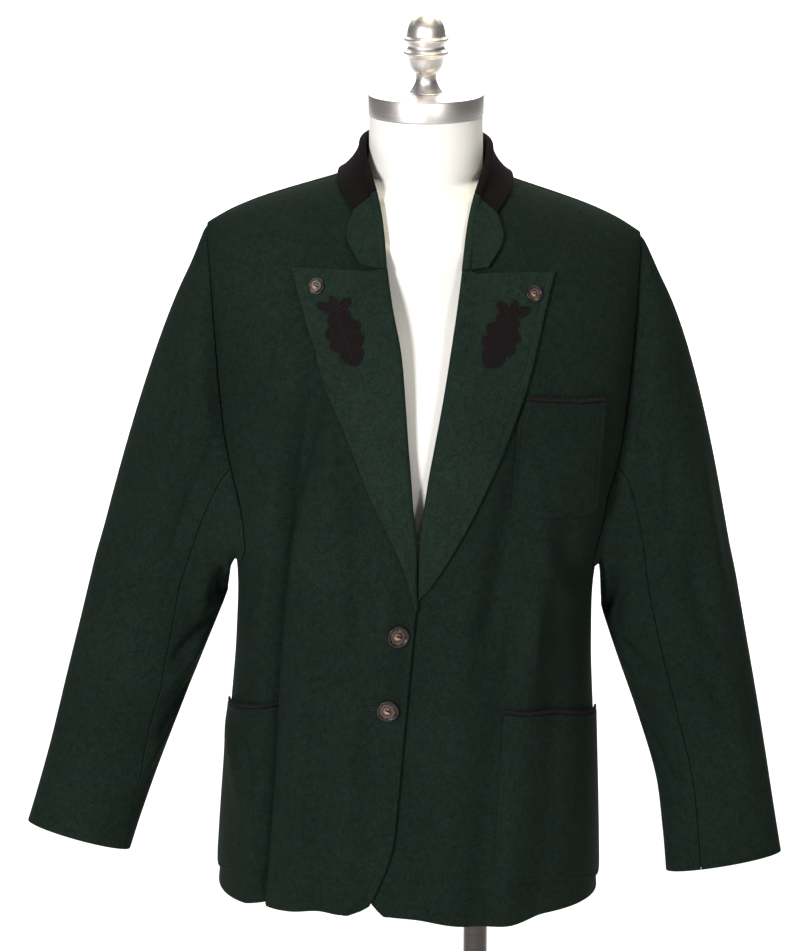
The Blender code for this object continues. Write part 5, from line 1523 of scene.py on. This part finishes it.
def horn_button(name, seat, axis, radius):
    """A turned horn button with a raised rim, a dish and an uneven face."""
    profile = [(max(r, 0.004) * radius, h * radius)
               for r, h in smooth_profile(BUTTON_FACE, 4)]
    points, faces = lathe(profile, seat, 72, axis)
    side = unit(np.cross(axis, [0, 0, 1.0]))
    up = np.cross(side, axis)
    x, y, high = ((points - seat) @ way / radius for way in (side, up, axis))
    wave = 0.012 * radius * np.sin(5 * x + 1.3) * np.cos(4 * y)
    points = points + axis * (wave * ease((high - 0.2) / 0.05))[:, None]
    obj = make(name + "_horn", points, faces, HORN, "stag_horn", name)
    point_values(obj, "from_middle", np.hypot(x - 0.10, y + 0.06))
    return side, up


def button_thread(name, seat, axis, side, up, radius):
    """The two short dark bars of thread on a button's middle."""
    way = side * math.cos(SLOT_TURN) + up * math.sin(SLOT_TURN)
    across = np.cross(way, axis)
    t = np.linspace(-1, 1, 13)
    parts = []
    for shift in (-THREAD_APART, THREAD_APART):
        path = (seat + axis * (radius * (0.262 + 0.055 * (1 - t**4)))[:, None]
                + way * (t * radius * 0.23)[:, None] + across * shift * radius)
        path -= axis * (ease((np.abs(t) - 0.75) / 0.25) * radius * 0.09)[:, None]
        one = unit(np.cross(unit(np.gradient(path, axis=0)), across))
        parts.append(tube(rings_round(path, radius * 0.052, one, across, 8)))
    points, faces = join(parts)
    make(name + "_thread", points, faces, DARK_THREAD, "stag_horn")


def build_buttons():
    """Four horn buttons, their threads and the two worked buttonholes."""
    for name, x, z, radius, side, on in BUTTONS:
        place = on_lapel if on else over_front
        seat = hang(place(side, x, z, 0.0))
        axis = unit(hang(place(side, x, z, PROBE)) - seat)
        seat = seat + axis * SEAM * 1.6 - axis * radius * 0.06
        ways = horn_button(name, seat, axis, radius)
        button_thread(name, seat, axis, *ways, radius)
    for name, x, z, *_ in BUTTONS[:2]:
        buttonhole(name.replace("button", "buttonhole"), x + HOLE_X, z)


def leaf_half_width(t, lobes):
    """Half width of a leaf along its length, 0 at the base, 1 at the tip:
    an oval, or a body cut by rounded lobes and drawn in to a small tip."""
    t = np.clip(t, 0.0, 1.0)
    if not lobes:
        return np.maximum(1 - (2 * t**0.92 - 1) ** 2, 0.0016) ** 0.5
    body = np.interp(t, [0, 0.10, 0.30, 0.50, 0.70, 0.85, 1.0],
                     [0.30, 0.58, 0.92, 1.0, 0.80, 0.56, 0.40])
    wave = np.abs(np.sin(math.pi * (lobes * t + 0.10))) ** 0.75
    tip = np.maximum(1 - np.maximum((t - 0.88) / 0.12, 0.0) ** 2, 0.003) ** 0.5
    return body * (0.68 + 0.32 * wave) * tip


def leaf_piece(side, row, node):
    """One felt leaf: a crowned body with a raised outline and vein."""
    _, x, z, length, half, lean, lobes = row
    rows, cols = (150, 33) if lobes else (44, 17)
    t = np.linspace(0, 1, rows)[:, None]
    across = np.sin(np.linspace(-1, 1, cols) * math.pi / 2)[None]
    wide = half * leaf_half_width(t, lobes)
    c, s = math.cos(math.radians(lean)), math.sin(math.radians(lean))
    curl = 0.06 * length * (t - t * t) * (1 if lobes else 0.5)
    off, down = across * wide + curl, t * length
    px, pz = x + s * down + c * off, z - c * down + s * off
    from_edge = (1 - np.abs(across)) * wide
    sewn = np.exp(-(((from_edge - OUTLINE_IN) / OUTLINE_WIDE) ** 2))
    vein = np.exp(-((off - curl) / VEIN_WIDE) ** 2) * ease((0.94 - t) / 0.1)
    sewn = np.maximum(sewn, vein)
    if lobes:
        phase = (lobes * t - 0.38 - 0.55 * np.abs(off - curl) / length * lobes) % 1.0
        phase = np.minimum(phase, 1 - phase) / lobes * length
        ribs = 0.6 * np.exp(-((phase / RIB_WIDE) ** 2)) * ease(from_edge / 0.003)
        sewn = np.maximum(sewn, ribs)
    swell = FELT * 0.45 + LEAF_RISE * sewn
    top = on_lapel(side, side * px, pz, SEAM + swell)
    n = sheet_normals(top, top - on_lapel(side, side * px, pz, 0.0))
    obj = thin_shell(node + "_felt", top, n, swell * 0.98, LEAF, "black_felt", node)
    point_values(obj, "embroidery", sewn.reshape(-1))


def build_leaves():
    """Oak leaves on the lapels, each with three small leaves."""
    for side, word in SIDES:
        for row in LEAVES:
            leaf_piece(side, row, f"applique_{word}_{row[0]}")


# ================================================================ dress form
FORM_REACH = 0.188        # the form's shoulders reach no further in x


def form_ring(z, half, front, back, square):
    """A level ring of the form."""
    x, y = section(turns(FORM_COUNT), half, front, back, square)
    return np.stack([x, y, np.full(FORM_COUNT, z)], -1)


def shoulder_ring(z):
    """A ring of the form just under the cloth of the shoulders."""
    widths = [row[0] for row in RIDGE]
    reach = min(np.interp(-z, [-row[1] for row in RIDGE], widths), FORM_REACH)
    angle = turns(FORM_COUNT)
    x = signed(np.sin(angle), 0.85) * reach
    phi, v = place_of(x, np.full(FORM_COUNT, z))
    phi = np.where(np.cos(angle) < -1e-9, math.pi - phi, phi)
    n = normal_of(plain_point, phi, v)
    loose = FORM_LOOSE * (1 - np.abs(x / reach) ** 6)
    return plain_point(phi, v) - n * (CLOTH + FORM_GAP + loose)[:, None]


def form_rings():
    """The form's rings: key rings joined by smooth curves."""
    keys = [form_ring(*row) for row in FORM]
    keys += [shoulder_ring(z) for z in FORM_LEVELS]
    keys = np.array(keys + [form_ring(*row) for row in FORM_NECK])
    return catmull(keys, np.linspace(0, len(keys) - 1, FORM_STEPS * (len(keys) - 1) + 1))


def catmull(keys, levels):
    """Smooth curves through a list of equal rings."""
    i = np.clip(levels.astype(int), 0, len(keys) - 2)
    t = (levels - i)[:, None, None]
    p1, p2 = keys[i], keys[i + 1]
    p0, p3 = keys[np.maximum(i - 1, 0)], keys[np.minimum(i + 2, len(keys) - 1)]
    return hermite(t, p1, p2, (p2 - p0) / 2, (p3 - p1) / 2)


def stand(name, node, points, faces, mat, slot):
    """A rigid piece that stands for a CAD node; its sharp edges stay sharp."""
    obj = make(name, points, faces, mat, slot, node)
    work = bmesh.new()
    work.from_mesh(obj.data)
    for edge in work.edges:
        if len(edge.link_faces) == 2 and edge.calc_face_angle(0.0) > SHARP:
            edge.smooth = False
    work.to_mesh(obj.data)
    work.free()


def build_torso():
    """Torso and neck in one; the shoulders lie clear inside the cloth."""
    rings = form_rings()
    x, z = np.abs(rings[..., 0]), rings[..., 2]
    under = ease((x - 0.080) / 0.03) * ease((z - 1.10) / 0.05) * (z < 1.389)
    for _ in range(2):
        rings = sink(rings, CLOTH + FORM_DEEP, under)
    weight = ease((1.425 - z) / 0.022) * ease((z - 0.72) / 0.20)
    points, faces = tube(hang(rings, weight))
    stand("form_torso_cover", "form_torso", points, faces, COVER, "form_cover")


def build_stand():
    """Neck cap, finial, pole, base plate and pole foot, each a turned shape:
    rows are radius, height."""
    foot, top = BASE_TALL + FOOT_TALL, FORM[0][0] - SEAM
    cap = [(0.004, -CAP_TALL), (CAP_R - 0.0010, -CAP_TALL), (CAP_R, -CAP_TALL + 0.0010),
           (CAP_R, -0.0016), (CAP_R - 0.0006, -0.0005), (CAP_R - 0.0018, 0.0),
           (CAP_R - 0.0070, 0.0), (0.020, 0.0002), (0.001, 0.0002)]
    knob = [(r * MM, h * MM)
            for r, h in smooth_profile([(0.4, 0.3), *FINIAL, (0.3, 77.0)], 5)]
    pole = [(0.001, foot + SEAM), (POLE_R, foot + SEAM),
            *((POLE_R, z) for z in np.linspace(foot + 0.002, top - 0.002, 20)),
            (POLE_R, top), (0.001, top)]
    base = [(0.001, 0.0), (BASE_R - 0.0012, 0.0), (BASE_R, 0.0012),
            (BASE_R, BASE_TALL - 0.0022), (BASE_R - 0.0007, BASE_TALL - 0.0007),
            (BASE_R - 0.0022, BASE_TALL), *((r, BASE_TALL) for r in (0.15, 0.1, 0.05)),
            (0.001, BASE_TALL)]
    rose = [(0.001, BASE_TALL + SEAM), (FOOT_R, BASE_TALL + SEAM),
            (FOOT_R, foot - 0.006), (FOOT_R - 0.0014, foot - 0.003),
            (FOOT_R - 0.0045, foot - 0.0010), (FOOT_R - 0.008, foot), (0.001, foot)]
    steel, chrome = (STEEL, "satin_steel"), (POLE, "dark_chrome")
    for name, node, profile, x, z, segments, look in (
            ("neck_cap_steel", "neck_cap", cap, 0, CAP_Z, 128, steel),
            ("finial_steel", "finial", knob, 0, CAP_Z, 72, steel),
            ("pole_chrome", "pole", pole, POLE_X, 0, 64, chrome),
            ("base_steel", "base", base, 0, 0, 160, steel),
            ("pole_foot_chrome", "pole_foot", rose, POLE_X, 0, 72, chrome)):
        stand(name, node, *lathe(profile, (x, 0, z), segments), *look)


# ================================================================ materials
class Nodes:
    """Short calls for building one material's nodes."""

    def __init__(self, name):
        self.mat = bpy.data.materials.new(name)
        self.mat.use_nodes = True
        self.tree = self.mat.node_tree
        self.shader = self.tree.nodes["Principled BSDF"]
        self.place = self.add("ShaderNodeTexCoord").outputs["Object"]

    def add(self, kind, **values):
        """A node; each value is one of its settings or of its sockets."""
        node = self.tree.nodes.new(kind)
        for key, value in values.items():
            if hasattr(node, key):
                setattr(node, key, value)
            else:
                node.inputs[key.replace("_", " ")].default_value = value
        return node

    def link(self, out, into):
        """An output joined to an input."""
        self.tree.links.new(out, into)

    def give(self, socket, value):
        """A number, a colour or another node's output for a socket."""
        if isinstance(value, (int, float)):
            socket.default_value = value
        elif isinstance(value, tuple):
            socket.default_value = (*value, 1.0)
        else:
            self.link(value, socket)

    def noise(self, scale, detail=3.0, rough=0.55, place=None, distort=0.0):
        """Cloudy noise over the object, or over its stretched place."""
        node = self.add("ShaderNodeTexNoise", Scale=scale, Detail=detail,
                        Roughness=rough, Distortion=distort)
        self.link(place or self.place, node.inputs["Vector"])
        return node.outputs["Fac"]

    def wave(self, scale, distort, way="DIAGONAL"):
        """Even bands across the object."""
        node = self.add("ShaderNodeTexWave", wave_type="BANDS", bands_direction=way,
                        Scale=scale, Distortion=distort)
        self.link(self.place, node.inputs["Vector"])
        return node.outputs["Fac"]

    def stretched(self, scale, turn=(0, 0, 0)):
        """The object's place, stretched and turned."""
        node = self.add("ShaderNodeMapping", Scale=scale, Rotation=turn)
        self.link(self.place, node.inputs["Vector"])
        return node.outputs["Vector"]

    def ramp(self, fac, stops):
        """A colour ramp; stops are place, (r, g, b)."""
        node = self.add("ShaderNodeValToRGB")
        ramp = node.color_ramp
        ramp.elements[0].position, ramp.elements[-1].position = stops[0][0], stops[-1][0]
        for at, _ in stops[1:-1]:
            ramp.elements.new(at)
        for element, (_, colour) in zip(ramp.elements, stops):
            element.color = (*colour, 1.0)
        self.link(fac, node.inputs["Fac"])
        return node.outputs["Color"]

    def range(self, value, low, high, to_low=0.0, to_high=1.0):
        """A value's range stretched to another one."""
        node = self.add("ShaderNodeMapRange", From_Min=low, From_Max=high,
                        To_Min=to_low, To_Max=to_high)
        self.link(value, node.inputs["Value"])
        return node.outputs["Result"]

    def math(self, kind, a, b):
        """Two values joined by one operation."""
        node = self.add("ShaderNodeMath", operation=kind)
        self.give(node.inputs[0], a)
        self.give(node.inputs[1], b)
        return node.outputs[0]

    def total(self, *parts):
        """The sum of several values; parts are value, weight."""
        result = None
        for value, weight in parts:
            part = self.math("MULTIPLY", value, weight)
            result = part if result is None else self.math("ADD", result, part)
        return result

    def mix(self, fac, a, b, kind="MIX"):
        """Two colours mixed; each may be a socket or an (r, g, b)."""
        node = self.add("ShaderNodeMix", data_type="RGBA", blend_type=kind)
        for key, value in (("Factor", fac), ("A", a), ("B", b)):
            sockets = [s for s in node.inputs if s.name == key and s.enabled]
            self.give(sockets[0], value)
        return [s for s in node.outputs if s.enabled][0]

    def bump(self, height, distance, strength=1.0, normal=None):
        """A normal raised by a height, over another normal."""
        node = self.add("ShaderNodeBump", Strength=strength, Distance=distance)
        self.link(height, node.inputs["Height"])
        if normal is not None:
            self.link(normal, node.inputs["Normal"])
        return node.outputs["Normal"]

    def set(self, **values):
        """Values of the shader's own sockets."""
        for key, value in values.items():
            self.give(self.shader.inputs[key.replace("_", " ")], value)


def wool(name, dark, light, sheen, nap=1.0):
    """Felted wool: mottled fibre colour, a matted nap and a soft sheen."""
    m = Nodes(name)
    size = 1.3 if nap < 1 else 1.0
    warp = m.noise(260 * size, 2.0, 0.5)
    fibre = m.noise(900 * size, 4.0, 0.65, m.stretched((1.0, 1.0, 0.42), (0.5, 0.3, 0.2)))
    cross = m.noise(1000 * size, 4.0, 0.65, m.stretched((0.45, 1.0, 1.0), (0.2, 0.9, 0.4)))
    clump = m.noise(170 * size, 3.0, 0.6, distort=0.6)
    wear = m.noise(9.0, 4.0, 0.55)
    melange = m.noise(330 * size, 2.0, 0.5, m.stretched((1.0, 1.0, 0.6), (0.1, 0.6, 0.3)))
    mixed = m.total((fibre, 0.42), (cross, 0.33), (clump, 0.25))
    colour = m.ramp(m.range(mixed, 0.36, 0.64), ((0.0, dark), (1.0, light)))
    hue = m.ramp(m.range(melange, 0.32, 0.68),
                 ((0.0, (1.12, 0.96, 0.84)), (0.5, (0.96, 1.04, 0.98)),
                  (1.0, (0.84, 0.98, 1.20))))
    colour = m.mix(1.0, colour, hue, "MULTIPLY")
    shade = m.ramp(m.range(wear, 0.3, 0.7),
                   ((0.0, (0.86, 0.87, 0.86)), (1.0, (1.12, 1.11, 1.09))))
    m.set(Base_Color=m.mix(1.0, colour, shade, "MULTIPLY"))
    m.set(Roughness=m.range(mixed, 0.3, 0.7, 0.84, 0.98))
    m.set(Sheen_Weight=sheen, Sheen_Roughness=0.45, Specular_IOR_Level=0.05)
    m.set(Sheen_Tint=tuple(min(1.0, c * 14 + 0.10) for c in light))
    coarse = m.bump(clump, 0.0005 * nap, 0.40)
    fine = m.bump(mixed, 0.0005 * nap, 0.55, coarse)
    m.set(Normal=m.bump(warp, 0.0003 * nap, 0.3, fine))
    return m.mat


def thread(name, dark, light):
    """Twisted thread: fine diagonal lines and a little gloss."""
    m = Nodes(name)
    lines = m.wave(700, 1.5)
    fluff = m.noise(1500, 3.0)
    fac = m.total((lines, 0.6), (fluff, 0.4))
    m.set(Base_Color=m.ramp(fac, ((0.15, dark), (0.85, light))))
    m.set(Roughness=m.range(fluff, 0.3, 0.7, 0.62, 0.82))
    m.set(Sheen_Weight=0.04, Sheen_Roughness=0.5, Specular_IOR_Level=0.15)
    m.set(Normal=m.bump(fac, 0.0003, 0.8))
    return m.mat


def horn():
    """Polished stag horn: a dark brown rim, pale swirls, a cream middle."""
    m = Nodes("horn_polished")
    away = m.add("ShaderNodeAttribute", attribute_name="from_middle").outputs["Fac"]
    swirl = m.noise(210, 4.0, 0.6, distort=1.6)
    grain = m.noise(520, 4.0, 0.6, m.stretched((1.0, 1.0, 0.22), (0.3, 0.5, 0.4)))
    bend = m.math("MULTIPLY", m.math("SUBTRACT", swirl, 0.5), 0.75)
    fac = m.math("ADD", away, bend)
    colour = m.ramp(fac, ((0.08, (0.46, 0.36, 0.29)), (0.26, (0.20, 0.125, 0.090)),
                          (0.36, (0.035, 0.018, 0.013)), (0.46, (0.018, 0.010, 0.008)),
                          (0.56, (0.13, 0.082, 0.064)), (0.66, (0.016, 0.009, 0.008)),
                          (1.0, (0.009, 0.005, 0.005))))
    tint = m.ramp(grain, ((0.25, (0.72, 0.68, 0.62)), (0.75, (1.12, 1.10, 1.08))))
    m.set(Base_Color=m.mix(0.8, colour, tint, "MULTIPLY"))
    m.set(Roughness=m.range(grain, 0.3, 0.7, 0.28, 0.46))
    m.set(Specular_IOR_Level=0.35, Coat_Weight=0.06, Coat_Roughness=0.25)
    m.set(Normal=m.bump(grain, 0.0002, 0.5, m.bump(swirl, 0.0004, 0.4)))
    return m.mat


def leaf_felt():
    """Dark felt with an embroidered outline and veins in darker silk."""
    m = Nodes("leaf_felt_embroidered")
    sewn = m.add("ShaderNodeAttribute", attribute_name="embroidery").outputs["Fac"]
    fibre = m.noise(1100, 4.0, 0.65)
    clump = m.noise(300, 3.0, 0.6, distort=0.4)
    lines = m.wave(520, 2.0)
    felt = m.ramp(fibre, ((0.3, (0.0034, 0.0018, 0.0024)), (0.7, (0.0090, 0.0052, 0.0062))))
    silk = m.ramp(lines, ((0.1, (0.0010, 0.0006, 0.0008)), (0.9, (0.0040, 0.0022, 0.0028))))
    m.set(Base_Color=m.mix(m.range(sewn, 0.25, 0.75), felt, silk))
    m.set(Roughness=m.range(sewn, 0.2, 0.8, 0.95, 0.62))
    m.set(Sheen_Weight=0.04, Sheen_Roughness=0.5, Specular_IOR_Level=0.12)
    high = m.total((fibre, 0.6), (clump, 0.4))
    m.set(Normal=m.bump(lines, 0.00018, 0.6, m.bump(high, 0.0006, 0.6)))
    return m.mat


def jersey():
    """The form's cover: pale stretched jersey with fine knitted ribs."""
    m = Nodes("form_jersey")
    ribs = m.wave(330, 0.6, "X")
    knit = m.noise(900, 2.0, 0.5)
    soil = m.noise(5.0, 3.0, 0.5)
    colour = m.ramp(soil, ((0.3, (0.86, 0.83, 0.79)), (0.7, (0.94, 0.92, 0.89))))
    lines = m.ramp(ribs, ((0.2, (0.93, 0.93, 0.93)), (0.8, (1.0, 1.0, 1.0))))
    m.set(Base_Color=m.mix(0.6, colour, lines, "MULTIPLY"))
    m.set(Roughness=m.range(knit, 0.3, 0.7, 0.68, 0.85))
    m.set(Sheen_Weight=0.15, Sheen_Roughness=0.5, Specular_IOR_Level=0.3)
    m.set(Normal=m.bump(ribs, 0.00015, 0.35, m.bump(knit, 0.0002, 0.35)))
    return m.mat


def brushed(name, dark, light, low, high):
    """Turned metal: fine brushed lines round its axis, faint smudges."""
    m = Nodes(name)
    lines = m.noise(60, 5.0, 0.7, m.stretched((0.6, 0.6, 40.0)))
    smudge = m.noise(26, 4.0, 0.6)
    m.set(Base_Color=m.ramp(lines, ((0.3, dark), (0.7, light))), Metallic=1.0)
    mixed = m.total((lines, 0.6), (smudge, 0.4))
    m.set(Roughness=m.range(mixed, 0.3, 0.7, low, high))
    m.set(Normal=m.bump(lines, 0.00005, 0.25))
    return m.mat


def paper(colour):
    """Studio paper: pale, matt and faintly uneven."""
    m = Nodes("studio_paper")
    cloud = m.noise(1.2, 2.0, 0.5)
    low = tuple(c * 0.985 for c in colour)
    m.set(Base_Color=m.ramp(cloud, ((0.3, low), (0.7, colour))))
    m.set(Roughness=0.9, Specular_IOR_Level=0.2)
    return m.mat


# ================================================================ studio
FLOOR_NEAR, FLOOR_FAR, FLOOR_WIDE = -7, 14, 8      # metres, in cells of 1 m
# name, place, target, size, watts, colour
LIGHTS = (
    ("key", (-1.6, -3.0, 2.2), (0, 0, 1.08), (0.5, 0.5), 106, (1, 1, 1)),
    ("fill", (1.2, -3.3, 2.4), (0, 0, 1.1), (0.4, 0.4), 30, (1, 1, 1)),
    ("top", (0.4, 0.0, 4.0), (0, 0, 1.2), (1.4, 1.4), 58, (1.0, 0.95, 0.70)),
    ("floor_light", (0.0, 8.0, 4.6), (0, 8.0, 0.0), (9.0, 11.0), 1100, (1, 1, 1)),
)


def build_stage():
    """A plain pale floor, long enough to fill the picture's background."""
    rows, cols = FLOOR_FAR - FLOOR_NEAR + 1, 2 * FLOOR_WIDE + 1
    points = [(x - FLOOR_WIDE, y + FLOOR_NEAR, 0.0) for y in range(rows) for x in range(cols)]
    mat = paper((0.93, 0.93, 0.925))
    make("studio_floor", points, grid_faces(rows, cols), mat)


def area_light(name, place, target, size, watts, colour):
    """A rectangular lamp at a place, turned to its target."""
    data = bpy.data.lights.new(name, "AREA")
    data.shape = "RECTANGLE"
    data.size, data.size_y = size
    data.energy = watts
    data.color = colour
    obj = bpy.data.objects.new(name, data)
    way = Vector(target) - Vector(place)
    obj.location = place
    obj.rotation_euler = way.to_track_quat("-Z", "Y").to_euler()
    bpy.context.scene.collection.objects.link(obj)


def build_lights():
    """A key box on the viewer's left, a weaker fill on the right, a top box,
    one over the floor behind that makes it white, and a dim pale room."""
    for row in LIGHTS:
        area_light(*row)
    world = bpy.data.worlds.new("studio")
    world.use_nodes = True
    back = world.node_tree.nodes["Background"]
    back.inputs["Color"].default_value = (1.0, 0.995, 0.985, 1.0)
    back.inputs["Strength"].default_value = 0.09
    bpy.context.scene.world = world
    bpy.context.scene.view_settings.view_transform = "Standard"


def build_camera():
    """The photograph's camera: above the jacket, looking a little down."""
    data = bpy.data.cameras.new("camera")
    data.sensor_fit = "VERTICAL"
    data.sensor_height = SENSOR_MM
    data.lens = FOCAL_PX / PHOTO_TALL * SENSOR_MM
    obj = bpy.data.objects.new("camera", data)
    obj.location = CAMERA
    obj.rotation_euler = (PITCH, 0, 0)
    bpy.context.scene.collection.objects.link(obj)
    bpy.context.scene.camera = obj


# ================================================================ scene
LODEN = wool("loden_green", (0.0030, 0.0058, 0.0046), (0.0128, 0.0215, 0.0170), 0.02)
# the lapels and collar fronts: the same loden as the rest, painted lighter for the light that
# falls on them
LAPEL_LODEN_PAINTED_LIT = wool("loden_green_lapel_painted_lit", (0.0040, 0.0082, 0.0064),
                   (0.0172, 0.0292, 0.0225), 0.025)
BLACK = wool("felt_black", (0.0030, 0.0020, 0.0024), (0.0105, 0.0072, 0.0082), 0.02, 0.7)
CORD = thread("cord_black", (0.0020, 0.0013, 0.0020), (0.0095, 0.0065, 0.0095))
THREAD = thread("thread_green", (0.0035, 0.0070, 0.0052), (0.0135, 0.0225, 0.0175))
DARK_THREAD = thread("thread_dark", (0.006, 0.006, 0.006), (0.022, 0.021, 0.020))
HORN = horn()
LEAF = leaf_felt()
COVER = jersey()
STEEL = brushed("steel_satin", (0.66, 0.62, 0.60), (0.86, 0.82, 0.80), 0.34, 0.50)
POLE = brushed("chrome_dark", (0.050, 0.044, 0.045), (0.095, 0.085, 0.086), 0.14, 0.26)


def main():
    """The jacket, its form and the studio, in the order they are drawn up."""
    build_body()
    build_lapels()
    build_collar()
    build_sleeves()
    pocket_lines = build_pockets()
    build_stitching(pocket_lines)
    build_buttons()
    build_leaves()
    build_torso()
    build_stand()
    build_stage()
    build_lights()
    build_camera()


main()
